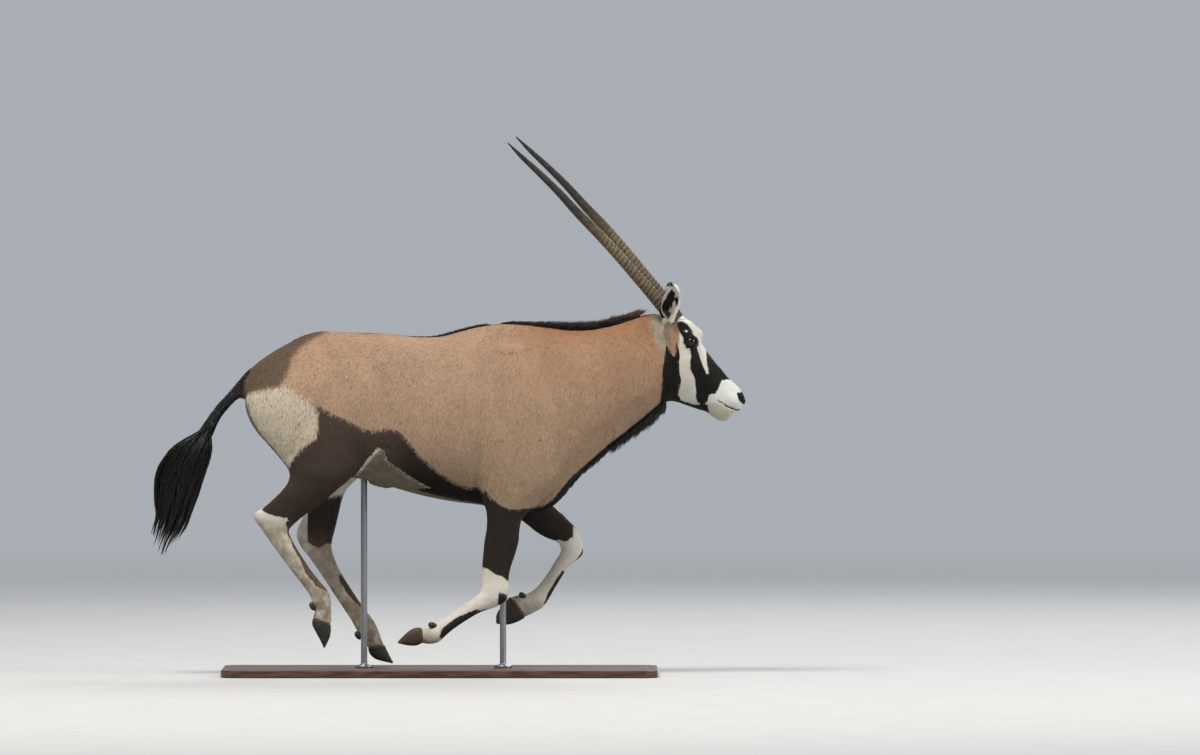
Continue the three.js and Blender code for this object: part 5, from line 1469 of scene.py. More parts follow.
pull = ((clump + 0.5) / 4.5 - t)[:, None, None] * 11 * UNIT * 0.35 * np.array([1.0, 0, 0.8])
paths = P0[:, None] + L[:, None, None] * (unit(d0)[:, None] * s_ + bend * s_ ** 2 * 0.6) + pull * s_
paths[:, 0] += np.array([0, 0, 0.003])
FRG = hair_piece("throat_fringe_locks", paths, RNG.uniform(0.0011, 0.0018, n), RNG.random(n), root_uv(P0))
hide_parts("throat_fringe")

# tail tuft: long wavy strands in locks that end in points
n = thin(3050)
k = 11
NG = 46
gq = np.clip(np.linspace(-0.92, 0.92, NG) + RNG.normal(0, 0.05, NG), -0.95, 0.95)
gy = RNG.uniform(-0.85, 0.85, NG) * np.sqrt(1 - (gq * 0.9) ** 2)
gend = np.interp(gq, [-1, -0.6, -0.25, 0.1, 0.5, 0.85, 1], [0.93, 1.00, 1.03, 0.97, 0.93, 0.84, 0.74]) + RNG.normal(0, 0.075, NG)
group = RNG.integers(0, NG, n)
kind_ = RNG.random(n)
start = np.where(kind_ < 0.5, RNG.uniform(0.0, 0.06, n), RNG.uniform(0.0, 0.34, n))
end = np.clip(gend[group] - RNG.random(n) ** 1.5 * 0.30, 0.5, 1.08)
lin_ = np.linspace(0, 1, k)
ss = start[:, None] + (end - start)[:, None] * lin_[None]
S = sections(through(TUFT_R, ss.ravel().clip(0, 1))).reshape(n, k, 10)
over = np.maximum(ss - 1.0, 0)[..., None] * 0.44
ph = RNG.uniform(0, 6.28, (NG, 2))[group]
fr = RNG.uniform(0.9, 1.6, NG)[group]
spread = smooth(0.0, 0.28, ss)
wave = 0.12 * np.sin(ss * 6.28 * fr[:, None] + ph[:, :1]) + 0.03 * np.sin(ss * 15 + RNG.uniform(0, 6.28, n)[:, None])
wave2 = 0.18 * np.sin(ss * 6.28 * fr[:, None] * 0.9 + ph[:, 1:])
own = 1 - 0.88 * smooth(0.28, 0.95, ss / np.maximum(gend[group], 0.6)[:, None])
dq = RNG.normal(0, 0.13, n)[:, None] * own
dy = RNG.normal(0, 0.22, n)[:, None] * own
grow = smooth(0, 0.25, lin_)[None]
qq = np.clip((gq[group][:, None] + dq), -0.97, 0.97) * (0.42 + 0.58 * np.maximum(spread, grow * 0.5)) + wave * spread * own ** 0.4
yv = (gy[group][:, None] + dy) * (0.5 + 0.5 * spread) + wave2 * spread
mid = (S[..., 4] - S[..., 5]) / 2
h = (S[..., 4] + S[..., 5]) / 2
paths = np.stack([S[..., 0] + S[..., 2] * (mid + qq * h), S[..., 7] + S[..., 6] * yv, S[..., 1] + S[..., 3] * (mid + qq * h)], 2)
paths += over * np.array([-0.30, 0.0, -1.0])
paths[..., 2] -= (RNG.random(n)[:, None] * 0.004) * lin_[None]
rt = root_uv(to_surface(np.stack([np.full(n, float(cx(212))), gy[group] * 0.012, np.full(n, float(cz(420)))], 1)))
TT = hair_piece("tail_tuft_locks", paths, RNG.uniform(0.0009, 0.0015, n), RNG.random(n), rt + RNG.uniform(-0.008, 0.008, (n, 2)))
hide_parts("tail_tuft")
# shorter dark hair that covers the tail itself
n = thin(1800)
t = RNG.random(n) ** 0.75
S = sections(through(DOCK_R, t * 0.86 + 0.12))
an = RNG.uniform(0, 2 * np.pi, n)
P0 = np.stack([S[:, 0] + S[:, 2] * S[:, 4] * np.sin(an), S[:, 7] + S[:, 6] * np.cos(an), S[:, 1] + S[:, 3] * S[:, 4] * np.sin(an)], 1)
P0 = to_surface(P0, 0.003)
NN = unit(slope(P0))
dd = np.stack([-S[:, 3] * -1, np.zeros(n), S[:, 2] * -1], 1)
nx_ = through(DOCK_R, np.clip(t * 0.86 + 0.16, 0, 1))
px_ = through(DOCK_R, np.clip(t * 0.86 + 0.08, 0, 1))
dd = unit(np.stack([(nx_ - px_)[:, 0] + (nx_ - px_)[:, 2], np.zeros(n), (nx_ - px_)[:, 1] + (nx_ - px_)[:, 3]], 1))
dd = unit(dd - (dd * NN).sum(1, keepdims=True) * NN + NN * 0.05 + RNG.normal(0, 0.06, (n, 3)))
L = RNG.uniform(0.018, 0.034, n) * (0.7 + 0.8 * t + 1.1 * smooth(0.6, 1.0, t))
s_ = np.linspace(0, 1, 6)[None, :, None]
paths = P0[:, None] + dd[:, None] * s_ * L[:, None, None] - NN[:, None] * (s_ ** 2) * (L * 0.08)[:, None, None]
hair_piece("tail_hair", paths, RNG.uniform(0.0009, 0.0014, n), np.clip(1.12 - 0.9 * t + RNG.normal(0, 0.12, n), 0, 1.2), root_uv(P0))


# ears: short hair on the back, longer white hair at the rims and the root
def ear_coat(side):
    ev, eq, em, eu = EARS[side]
    tri = np.concatenate([eq[:, [0, 1, 2]], eq[:, [0, 2, 3]]])
    area = np.linalg.norm(np.cross(ev[tri[:, 1]] - ev[tri[:, 0]], ev[tri[:, 2]] - ev[tri[:, 0]]), axis=1) / 2
    nrm = unit(np.cross(ev[tri[:, 1]] - ev[tri[:, 0]], ev[tri[:, 2]] - ev[tri[:, 0]]) + 1e-12)
    mt = em[tri].mean(1)
    wgt = area * (mt[:, 0] > 0.0) * np.where(mt[:, 2] > 0.5, 0.8, 1.0)
    n = thin(7000)
    pick = RNG.choice(len(tri), n, p=wgt / wgt.sum())
    r = RNG.random((n, 2))
    r1 = np.sqrt(r[:, 0])
    bc = np.stack([1 - r1, r1 * (1 - r[:, 1]), r1 * r[:, 1]], 1)[:, :, None]
    P = (ev[tri[pick]] * bc).sum(1)
    M = (em[tri[pick]] * bc).sum(1)
    U = (eu[tri[pick]] * bc).sum(1)
    N = nrm[pick]
    axis = unit(ev[len(ev) // 2 - 30 * 3 + 15] - ev[15])
    D = unit(axis - (N @ axis)[:, None] * N + 1e-6)
    edge = np.abs(M[:, 1]) > 0.80
    long_ = np.where(edge, 0.0065, 0.0058) * np.where((M[:, 2] > 0.5) & (np.abs(M[:, 1]) > 0.45) & (M[:, 0] < 0.75), 1.9, 1.0)
    long_ = long_ * np.where(M[:, 0] < 0.25, 1.5, 1.0)
    mm, so = ear_marks(M, side)
    mm["black"] = mm["black"] + RNG.normal(0, 0.4, n)
    Vt, T = spikes(P, N, D, long_ * RNG.uniform(0.7, 1.2, n), np.full(n, 0.0011), np.radians(RNG.uniform(2, 11, n)), np.full(n, 0.0002))
    off = np.array([[-1, -1], [1, -1], [0, 0.4], [0, 1.2]]) * 0.0014
    uvt = (U[:, None] + off[None]).reshape(-1, 2)
    ob = make("ear_coat_" + ("right" if side < 0 else "left"), Vt, [T], False,
              {k_: np.repeat(a_, 4, axis=0) for k_, a_ in pack(mm, so, RNG.normal(0, 0.7, n)).items()}, uvt[T.ravel()])
    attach(ob, "root")
    return ob


COATS += [ear_coat(-1), ear_coat(1)]


def lathe_box(name, parts, mat_slot, node):
    ob = make(name, parts[0], parts[1])
    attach(ob, "root")
    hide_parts(*node)
    return ob


# ---------------------------------------------------------------- eyes
def eyeball(side):
    n, m = 40, 64
    e, o = EYE_C[side], EYE_OUT[side]
    up = unit(np.cross(np.cross(o, np.array([0.0, 0, 1]) @ HEAD_R.T), o))
    rt = np.cross(up, o)
    a = np.linspace(0, np.pi, n + 1)[1:-1]
    b = np.arange(m) * 2 * np.pi / m
    r = EYE_R * (1 + 0.055 * np.exp(-(a / 0.55) ** 2))
    ring = e + (o * (np.cos(a) * r)[:, None])[:, None] + (np.sin(a) * r)[:, None, None] * (
        np.cos(b)[None, :, None] * rt + np.sin(b)[None, :, None] * up)
    Ve, Q, T = tube(np.concatenate([ring], 0))
    Ve[-2] = e + o * EYE_R * 1.055
    Ve[-1] = e - o * EYE_R
    rel = Ve - e
    loc = np.stack([rel @ rt, rel @ up, rel @ o], 1) / EYE_R
    ob = make("eyeball_" + ("right" if side < 0 else "left"), Ve, [Q, T], True, {"iris": loc})
    vol = np.einsum("ij,ij->i", rel[Q[:, 0]], np.cross(rel[Q[:, 1]], rel[Q[:, 2]])).sum()
    if vol < 0:
        ob.data.flip_normals()
    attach(ob, "root")
    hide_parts("eye_" + ("right" if side < 0 else "left"))
    return ob


EYES = [eyeball(-1), eyeball(1)]


# ---------------------------------------------------------------- horns
def horn(side):
    R = np.array([[float(cx(u_)), -side * y_ / 1000, float(cz(v_)), r_ / 1000] for u_, v_, y_, r_ in HORN])
    steps, sides = 420, 28
    t = np.linspace(0, 1, steps + 1)
    C = through(R, t)
    tg = unit(np.gradient(C[:, :3], axis=0))
    a = unit(np.cross(tg, np.array([0.0, 1, 0])))
    b = np.cross(a, tg)
    arc = np.concatenate([[0], np.cumsum(np.linalg.norm(np.diff(C[:, :3], axis=0), axis=1))])
    sh = arc / arc[-1]
    lin = np.interp(sh, np.linspace(0, 1, len(R)), R[:, 3])
    radius = np.where(sh < 0.93, C[:, 3], C[:, 3])
    # rings lean: higher on the front
    w = np.arange(sides) * 2 * np.pi / sides
    s = sh[:, None] + 0.006 * np.cos(w)[None]
    rings = 28
    x = s / 0.50
    phase = (x ** 0.93) * rings
    # the rings are sharp on their upper side and wander a little
    ph = phase + 0.10 * np.sin(phase * 2.3 + side) + 0.05 * np.sin(w[None] * 2 + phase)
    saw = (ph % 1.0)
    ridge = np.where(saw < 0.72, smooth(0, 0.72, saw), 1 - smooth(0.72, 1.0, saw))
    fade = (1 - smooth(0.80, 1.02, x)) * smooth(0.0, 0.05, x)
    rise = 0.0023 * ridge * fade * (1 - 0.45 * x.clip(0, 1)) - 0.0010 * fade
    stri = 0.00022 * np.sin(w[None] * 9 + 3 * np.sin(sh * 7)[:, None]) * (1 - smooth(0.85, 1, sh))[:, None]
    r = radius[:, None] + rise + stri
    tipw = np.sqrt(np.clip((1 - sh) / 0.004, 0, 1))[:, None]
    r = r * tipw + 0.0001
    P = C[:, None, :3] + r[:, :, None] * (np.cos(w)[None, :, None] * a[:, None] + np.sin(w)[None, :, None] * b[:, None])
    down = C[0, :3] + (P[0] - C[0, :3]) * 0.62 - tg[0] * 0.010
    P = np.concatenate([down[None], P])
    Vh, Q, T = tube(P)
    sh2 = np.concatenate([[0], sh])
    info = np.zeros((len(Vh), 3))
    k_ = P.shape[0] * sides
    info[:k_, 0] = np.repeat(sh2, sides)
    info[:k_, 1] = np.concatenate([np.zeros(sides), (ridge * fade).ravel()])
    info[:k_, 2] = np.tile(w / (2 * np.pi), P.shape[0])
    info[k_ + 1, 0] = 1
    Vw = to_world(Vh)
    ob = make("horn_sheath_" + ("right" if side < 0 else "left"), Vw, [Q, T], True, {"sheath": info})
    c = Vw.mean(0)
    nrm = np.cross(Vw[Q[50, 1]] - Vw[Q[50, 0]], Vw[Q[50, 3]] - Vw[Q[50, 0]])
    if nrm @ (Vw[Q[50, 0]] - to_world(C[1, :3])) < 0:
        ob.data.flip_normals()
    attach(ob, "root")
    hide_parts("horn_" + ("right" if side < 0 else "left"))
    return ob


HORNS = [horn(-1), horn(1)]


def horn_root_hair(side):
    """the short tuft in front of the horn's foot, and the hair round it"""
    n = thin(700)
    R = hp(676.5, 320.5, 40 * side)
    an = RNG.uniform(0, 2 * np.pi, n)
    ax = unit((hp(667, 306.6, 43 * side) - hp(677.5, 321, 40 * side)))
    e1 = unit(np.cross(ax, [0, 1.0, 0]))
    e2 = np.cross(ax, e1)
    rr = RNG.uniform(0.0225, 0.027, n)[:, None]
    P0 = R + rr * (np.cos(an)[:, None] * e1 + np.sin(an)[:, None] * e2) + ax * 0.004
    P0 = to_surface(P0, 0.0016)
    NN = unit(slope(P0))
    d = unit(ax * 1.0 + NN * 0.02 + RNG.normal(0, 0.10, (n, 3)))
    fr = np.clip((P0 - R) @ (np.array([1.0, 0, 0.1])) / 0.03, -1, 1)
    ok = (fr > -0.15) & (np.linalg.norm(P0 - R - ax * 0.004, axis=1) < 0.030)
    P0, d, fr = P0[ok], d[ok], fr[ok]
    n = len(P0)
    L = (0.0042 + 0.001 * np.clip(fr, 0, 1)) * RNG.uniform(0.7, 1.2, n)
    s_ = np.linspace(0, 1, 5)[None, :, None]
    paths = P0[:, None] + d[:, None] * s_ * L[:, None, None]
    return hair_piece("horn_root_hair_" + ("right" if side < 0 else "left"), paths, RNG.uniform(0.0006, 0.0009, n), RNG.uniform(0.9, 1.6, n), root_uv(P0))


HRH = [horn_root_hair(-1), horn_root_hair(1)]


# ---------------------------------------------------------------- hooves
def claw(key, tag):
    y, rows = CLAWS[key]
    side = -1 if y < 0 else 1
    out = 1 if tag == "outer" else -1
    R = table([[fu, fv, ru, rv, b * 1.02, y + side * out * 15.5, 0.5, 2.3, 2.3] for fu, fv, ru, rv, b in rows])
    S = sections(through(R, np.linspace(0, 1, 41)))
    first = cap(S[0], S[0, :2] - S[1, :2], 0.010, 4)[::-1]
    last = cap(S[-1], S[-1, :2] - S[-2, :2], 0.003, 5)
    P = ring_points(np.array(first + list(S) + last), 40)
    # growth lines round the wall
    k_ = np.arange(P.shape[0])[:, None]
    w = np.arange(40)[None] * 2 * np.pi / 40
    c = P.mean(1, keepdims=True)
    lines = 1 + 0.0030 * np.sin(k_ * 0.9 + np.sin(w * 2) * 0.6)
    P = c + (P - c) * lines[:, :, None]
    Vc, Q, T = tube(P)
    info = np.zeros((len(Vc), 3))
    info[:-2, 0] = np.repeat(np.linspace(0, 1, P.shape[0]), 40)
    info[:-2, 1] = np.tile(np.sin(np.arange(40) * 2 * np.pi / 40), P.shape[0])
    info[-1, 0] = 1
    info[:, 2] = hash_(key + tag)
    ob = make("claw_%s_%s" % (key, tag), Vc, [Q, T], True, {"claw": info})
    fix_out(ob, Vc, Q)
    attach(ob, "root")
    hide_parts("hoof_%s_%s" % (key, tag))
    return ob


def hash_(text):
    return (sum(ord(c_) * (i_ + 3) for i_, c_ in enumerate(text)) % 97) / 97.0


def fix_out(ob, Vc, Q):
    c = Vc.mean(0)
    vol = np.einsum("ij,ij->i", Vc[Q[:, 0]] - c, np.cross(Vc[Q[:, 1]] - c, Vc[Q[:, 2]] - c)).sum()
    if vol < 0:
        ob.data.flip_normals()


def dewclaw(key, tag):
    u_, v_, y_, tilt = DEWCLAWS[key]
    side = -1 if y_ < 0 else 1
    out = 1 if tag == "outer" else -1
    n_, m_ = 22, 28
    a_ = np.linspace(0, np.pi, n_ + 1)[1:-1]
    b_ = np.arange(m_) * 2 * np.pi / m_
    # an egg, blunt at its free end
    x_ = np.cos(a_)[:, None] * 0.0160 * np.ones(m_)
    r_ = np.sin(a_)[:, None] * (1 - 0.18 * np.cos(a_))[:, None] * (1 + 0.006 * np.sin(a_ * 11))[:, None]
    P = np.stack([x_, r_ * 0.0095 * np.cos(b_), r_ * 0.0100 * np.sin(b_)], 2)
    P = P @ rot_y(-tilt).T
    P = P + np.array([float(cx(u_)), (y_ + side * out * 12.5) / 1000, float(cz(v_))])
    Vc, Q, T = tube(P)
    info = np.zeros((len(Vc), 3))
    info[:-2, 0] = np.repeat(np.linspace(0.3, 0.8, P.shape[0]), m_)
    info[:, 2] = hash_(tag + key)
    ob = make("dew_%s_%s" % (key, tag), Vc, [Q, T], True, {"claw": info})
    fix_out(ob, Vc, Q)
    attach(ob, "root")
    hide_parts("dewclaw_%s_%s" % (key, tag))
    return ob


CLAWOBS = [f(k_, t_) for k_ in CLAWS for t_ in ("inner", "outer") for f in (claw, dewclaw)]


# ---------------------------------------------------------------- stand
def board():
    prof = [(0.0, 0.0020), (0.0008, 0.0008), (0.0020, 0.0)]
    z0, z1 = 0.0, 0.025
    rings = []
    def outline(inset):
        a, b, r = 0.750 - inset, 0.310 - inset, 0.060 - inset
        pts = []
        for cx_, cy_, s0 in ((a - r, -b + r, -90), (a - r, b - r, 0), (-a + r, b - r, 90), (-a + r, -b + r, 180)):
            for k_ in range(13):
                w_ = math.radians(s0 + k_ * 7.5)
                pts.append((cx_ + r * math.cos(w_), cy_ + r * math.sin(w_)))
        return np.array(pts)
    for inset, z_ in ((0.003, z0), (0.001, z0 + 0.0008), (0.0, z0 + 0.003), (0.0, 0.0125), (0.0, z1 - 0.003), (0.0006, z1 - 0.0014),
                      (0.0016, z1 - 0.0005), (0.003, z1), (0.020, z1), (0.0215, z1 - 0.0009), (0.0235, z1 - 0.0009), (0.025, z1), (0.060, z1)):
        o_ = outline(min(inset, 0.058))
        rings.append(np.column_stack([o_, np.full(len(o_), z_)]))
    Vb, Q, T = tube(np.array(rings))
    ob = make("plinth_board", Vb, [Q, T], False)
    fix_out(ob, Vb, Q)
    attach(ob, "root")
    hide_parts("stand_base")
    return ob


def rod(tag, u_):
    x0 = float(cx(u_))
    zs = np.arange(0.50, 0.80, 0.001)
    hit = np.nonzero(A.sample(np.column_stack([np.full(len(zs), x0), np.zeros(len(zs)), zs])) < -0.012)[0]
    top = float(zs[hit[0]]) if len(hit) else 0.62
    b = 0.0253
    prof = [(0.004, b), (0.0310, b), (0.0318, b + 0.0008), (0.0320, b + 0.002), (0.0320, b + 0.0065), (0.0314, b + 0.0082),
            (0.0296, b + 0.0090), (0.0285, b + 0.0098), (0.0160, b + 0.0108), (0.0128, b + 0.0118), (0.0116, b + 0.0140), (0.0110, b + 0.018),
            (0.0110, b + 0.1), (0.0110, b + 0.3), (0.0110, top - 0.004), (0.0104, top - 0.001), (0.0080, top)]
    w_ = np.arange(48) * 2 * np.pi / 48
    P = np.array([np.column_stack([x0 + r_ * np.cos(w_), r_ * np.sin(w_), np.full(48, z_)]) for r_, z_ in prof])
    Vb, Q, T = tube(P)
    ob = make("rod_" + tag, Vb, [Q, T], True)
    fix_out(ob, Vb, Q)
    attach(ob, "root")
    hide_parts("stand_rod_" + tag)
    return ob


BOARD = board()
RODS = [rod("front", 503), rod("rear", 364)]


# =====================================================================
# materials
# =====================================================================
def lin(r, g, b):
    f = lambda c: c / 12.92 if c <= 0.04045 else ((c + 0.055) / 1.055) ** 2.4
    return (f(r / 255), f(g / 255), f(b / 255), 1.0)


class Mat:
    def __init__(self, name):
        self.m = bpy.data.materials.new(name)
        self.m.use_nodes = True
        self.t = self.m.node_tree
        self.t.nodes.clear()
        self.out = self.node("ShaderNodeOutputMaterial")
        self.b = self.node("ShaderNodeBsdfPrincipled")
        self.t.links.new(self.b.outputs[0], self.out.inputs[0])

    def node(self, kind):
        return self.t.nodes.new(kind)

    def put(self, socket, value):
        if hasattr(value, "is_linked") or hasattr(value, "links"):
            self.t.links.new(value, socket)
        else:
            socket.default_value = value

    def math(self, op, a, b=0.0, clamp=False):
        n = self.node("ShaderNodeMath")
        n.operation = op
        n.use_clamp = clamp
        self.put(n.inputs[0], a)
        self.put(n.inputs[1], b)
        return n.outputs[0]

    def mix(self, f, a, b, blend="MIX"):
        n = self.node("ShaderNodeMix")
        n.data_type = "RGBA"
        n.blend_type = blend
        self.put(n.inputs[0], f)
        self.put(n.inputs[6], a)
        self.put(n.inputs[7], b)
        return n.outputs[2]

    def vec(self, name):
        n = self.node("ShaderNodeAttribute")
        n.attribute_name = name
        s = self.node("ShaderNodeSeparateXYZ")
        self.t.links.new(n.outputs["Vector"], s.inputs[0])
        return s.outputs[0], s.outputs[1], s.outputs[2]

    def place(self, scale=(1, 1, 1)):
        c = self.node("ShaderNodeTexCoord")
        m = self.node("ShaderNodeMapping")
        m.inputs["Scale"].default_value = scale
        self.t.links.new(c.outputs["Object"], m.inputs[0])
        return m.outputs[0]

    def noise(self, where, scale, detail=3.0, rough=0.55):
        n = self.node("ShaderNodeTexNoise")
        n.inputs["Scale"].default_value = scale
        n.inputs["Detail"].default_value = detail
        n.inputs["Roughness"].default_value = rough
        self.t.links.new(where, n.inputs["Vector"])
        return n.outputs[0]

    def range(self, v, a, b, c=0.0, d=1.0, smooth_=True):
        n = self.node("ShaderNodeMapRange")
        n.interpolation_type = "SMOOTHSTEP" if smooth_ else "LINEAR"
        self.put(n.inputs[0], v)
        for i_, x_ in enumerate((a, b, c, d)):
            n.inputs[i_ + 1].default_value = x_
        return n.outputs[0]

    def scale_col(self, col, f):
        n = self.node("ShaderNodeVectorMath")
        n.operation = "SCALE"
        self.put(n.inputs[0], col)
        self.put(n.inputs[3], f)
        return n.outputs[0]

    def bump(self, h, strength, distance, under=None):
        n = self.node("ShaderNodeBump")
        n.inputs["Strength"].default_value = strength
        n.inputs["Distance"].default_value = distance
        self.put(n.inputs["Height"], h)
        if under is not None:
            self.t.links.new(under, n.inputs["Normal"])
        return n.outputs[0]

    def done(self, color, rough, normal, **fixed):
        self.put(self.b.inputs["Base Color"], color)
        self.put(self.b.inputs["Roughness"], rough)
        self.put(self.b.inputs["Normal"], normal)
        for k_, v_ in fixed.items():
            self.b.inputs[k_.replace("_", " ")].default_value = v_
        return self.m


def coat_material():
    m = Mat("coat_short")
    black, white, brown = m.vec("mark_a")
    grey, edge, tint = m.vec("mark_b")
    warm, low, mud_and_belly_shade = m.vec("soft_a")
    muzzle, painted_jaw_shade_and_pale, umber = m.vec("soft_b")
    painted_jaw_shade = m.range(painted_jaw_shade_and_pale, 0.0, 0.6, 0, 1, False)
    pale = m.range(painted_jaw_shade_and_pale, 0.9, 2.0, 0, 1, False)
    p = m.place((1, 1, 0.24))
    iso = m.place()
    n1 = m.noise(p, 250, 3)
    n2 = m.noise(p, 120, 2)
    n3 = m.noise(iso, 9, 3)
    n4 = m.noise(iso, 34, 2)
    n5 = m.noise(p, 620, 2)
    T = m.math("ADD", tint, m.math("MULTIPLY", m.math("SUBTRACT", n1, 0.5), 4.6))
    rag = m.math("MULTIPLY", m.math("SUBTRACT", n2, 0.5), 2.6)

    fleck = m.math("MULTIPLY", m.math("SUBTRACT", n1, 0.5), 11.0)

    def step(v, width=0.55, flecks=False):
        v = m.math("ADD", v, rag)
        return m.range(m.math("ADD", v, fleck) if flecks else v, -width, width, 0, 1)

    back = m.mix(m.range(n3, 0.35, 0.7), lin(160, 131, 107), lin(150, 123, 101))
    # painted shade: a darker, greyer tan lower on the body
    c = m.mix(m.math("MULTIPLY", low, 0.85), back, lin(146, 125, 103))
    c = m.mix(m.math("MULTIPLY", warm, 0.80), c, lin(146, 105, 74))
    c = m.scale_col(c, m.range(T, -2.4, 2.4, 0.60, 1.31, False))
    c = m.mix(m.math("MULTIPLY", m.range(T, -1.0, -2.3, 0, 1), 0.40), c, lin(90, 71, 58))
    g = m.scale_col(lin(181, 169, 149)[:3], m.range(T, -2.2, 2.2, 0.72, 1.26, False))
    g = m.mix(m.math("MULTIPLY", m.range(T, -0.55, -1.3, 0, 1), 0.72), g, lin(70, 62, 57))
    c = m.mix(step(grey, 3.6, True), c, g)
    w = m.mix(m.range(n3, 0.4, 0.75), lin(208, 202, 190), lin(194, 186, 172))
    w = m.mix(muzzle, w, lin(200, 200, 195))
    # painted shade on the white of the lower jaw and chin
    w = m.mix(m.math("MULTIPLY", painted_jaw_shade, 0.75), w, lin(168, 163, 140))
    w = m.scale_col(w, m.range(T, -2.4, 2.4, 0.86, 1.10, False))
    c = m.mix(m.math("MULTIPLY", pale, 0.70), c, m.scale_col(lin(152, 147, 133)[:3], m.range(T, -2.4, 2.4, 0.76, 1.16, False)))
    c = m.mix(step(white), c, w)
    b = m.scale_col(lin(88, 73, 60)[:3], m.range(T, -2.4, 2.4, 0.62, 1.42, False))
    c = m.mix(step(brown, 2.4, True), c, b)
    # painted shade along the rear-facing edge of the buttock
    c = m.mix(m.math("MULTIPLY", step(edge, 0.8), 0.8), c, lin(66, 64, 66))
    k = m.mix(m.range(n4, 0.35, 0.7), lin(13, 14, 13), lin(23, 22, 20))
    k = m.mix(umber, k, lin(62, 51, 43))
    k = m.scale_col(k, m.range(T, -2.4, 2.4, 0.7, 1.5, False))
    kk = step(black)
    c = m.mix(kk, c, k)
    # negative weights are the painted belly shade, positive ones the mud on the legs
    shade = m.range(mud_and_belly_shade, 0.0, -1.0, 0, 1, False)
    legs_ = m.range(mud_and_belly_shade, 0.0, 1.0, 0, 1, False)
    dirt = m.math("MULTIPLY", legs_, m.range(n4, 0.25, 0.65, 0.40, 0.95))
    c = m.mix(m.math("MULTIPLY", dirt, m.range(kk, 0, 1, 1.0, 0.55, False)), c, lin(112, 93, 65))
    # painted shade under the belly, with an olive cast
    belly_painted_shade = m.math("MULTIPLY", shade, m.range(kk, 0.0, 1.0, 0.92, 0.0, False))
    c = m.mix(belly_painted_shade, c, m.mix(m.range(n4, 0.3, 0.7), lin(100, 92, 70), lin(78, 72, 53)))
    rough = m.range(n1, 0.2, 0.8, 0.62, 0.86, False)
    rough = m.math("SUBTRACT", rough, m.math("MULTIPLY", kk, 0.14))
    nb = m.bump(n5, 0.30, 0.0010)
    nb = m.bump(n1, 0.55, 0.0020, nb)
    nb = m.bump(n4, 0.25, 0.0040, nb)
    return m.done(c, rough, nb, Sheen_Weight=0.0, Specular_IOR_Level=0.13)


def hair_material():
    m = Mat("hair_long")
    tone, share, tips = m.vec("strand")
    p = m.place((1, 1, 0.5))
    n1 = m.noise(p, 320, 3)
    n2 = m.noise(m.place(), 40, 2)
    c = m.mix(m.range(tone, 0.60, 1.0), lin(15, 15, 14), lin(34, 29, 25))
    c = m.mix(m.range(tone, 1.0, 1.5), c, lin(96, 76, 60))
    c = m.mix(m.math("MULTIPLY", m.range(share, 0.6, 1.0), 0.15), c, lin(70, 58, 48))
    c = m.mix(m.math("MULTIPLY", m.range(share, 0.42, 0.95), tips), c, lin(138, 102, 70))
    c = m.scale_col(c, m.range(n1, 0.25, 0.75, 0.72, 1.35, False))
    rough = m.range(n2, 0.25, 0.75, 0.38, 0.58, False)
    return m.done(c, rough, m.bump(n1, 0.4, 0.0008), Specular_IOR_Level=0.42)


def horn_material():
    m = Mat("horn_keratin")
    s, ridge, turn = m.vec("sheath")
    iso = m.place()
    n1 = m.noise(iso, 60, 4)
    n2 = m.noise(iso, 340, 3)
    w = m.math("SINE", m.math("MULTIPLY", turn, 6.28318 * 17))
    w2 = m.math("SINE", m.math("ADD", m.math("MULTIPLY", turn, 6.28318 * 31), m.math("MULTIPLY", n1, 6.0)))
    c = m.mix(m.range(n1, 0.3, 0.7), lin(60, 49, 34), lin(86, 73, 52))
    # painted highlight on the crests of the rings and painted shade in the grooves between them
    c = m.mix(m.math("MULTIPLY", ridge, 0.60), c, lin(118, 103, 77))
    low = m.math("MULTIPLY", m.range(ridge, 0.35, 0.0), m.range(s, 0.50, 0.40))
    c = m.mix(m.math("MULTIPLY", low, 0.6), c, lin(36, 31, 28))
    c = m.scale_col(c, m.range(s, 0.02, 0.34, 0.56, 1.14, False))
    c = m.mix(m.range(s, 0.42, 0.66), c, lin(40, 36, 32))
    c = m.mix(m.range(s, 0.80, 1.0), c, lin(26, 24, 24))
    streak = m.math("MULTIPLY", m.range(w2, 0.2, 0.9), m.range(n1, 0.45, 0.65))
    c = m.mix(m.math("MULTIPLY", streak, 0.25), c, lin(120, 106, 90))
    c = m.scale_col(c, m.range(n2, 0.25, 0.75, 0.84, 1.16, False))
    rough = m.range(n1, 0.25, 0.75, 0.46, 0.66, False)
    nb = m.bump(w, 0.22, 0.0006)
    nb = m.bump(w2, 0.18, 0.0004, nb)
    nb = m.bump(n2, 0.35, 0.0006, nb)
    return m.done(c, rough, nb, Specular_IOR_Level=0.30)


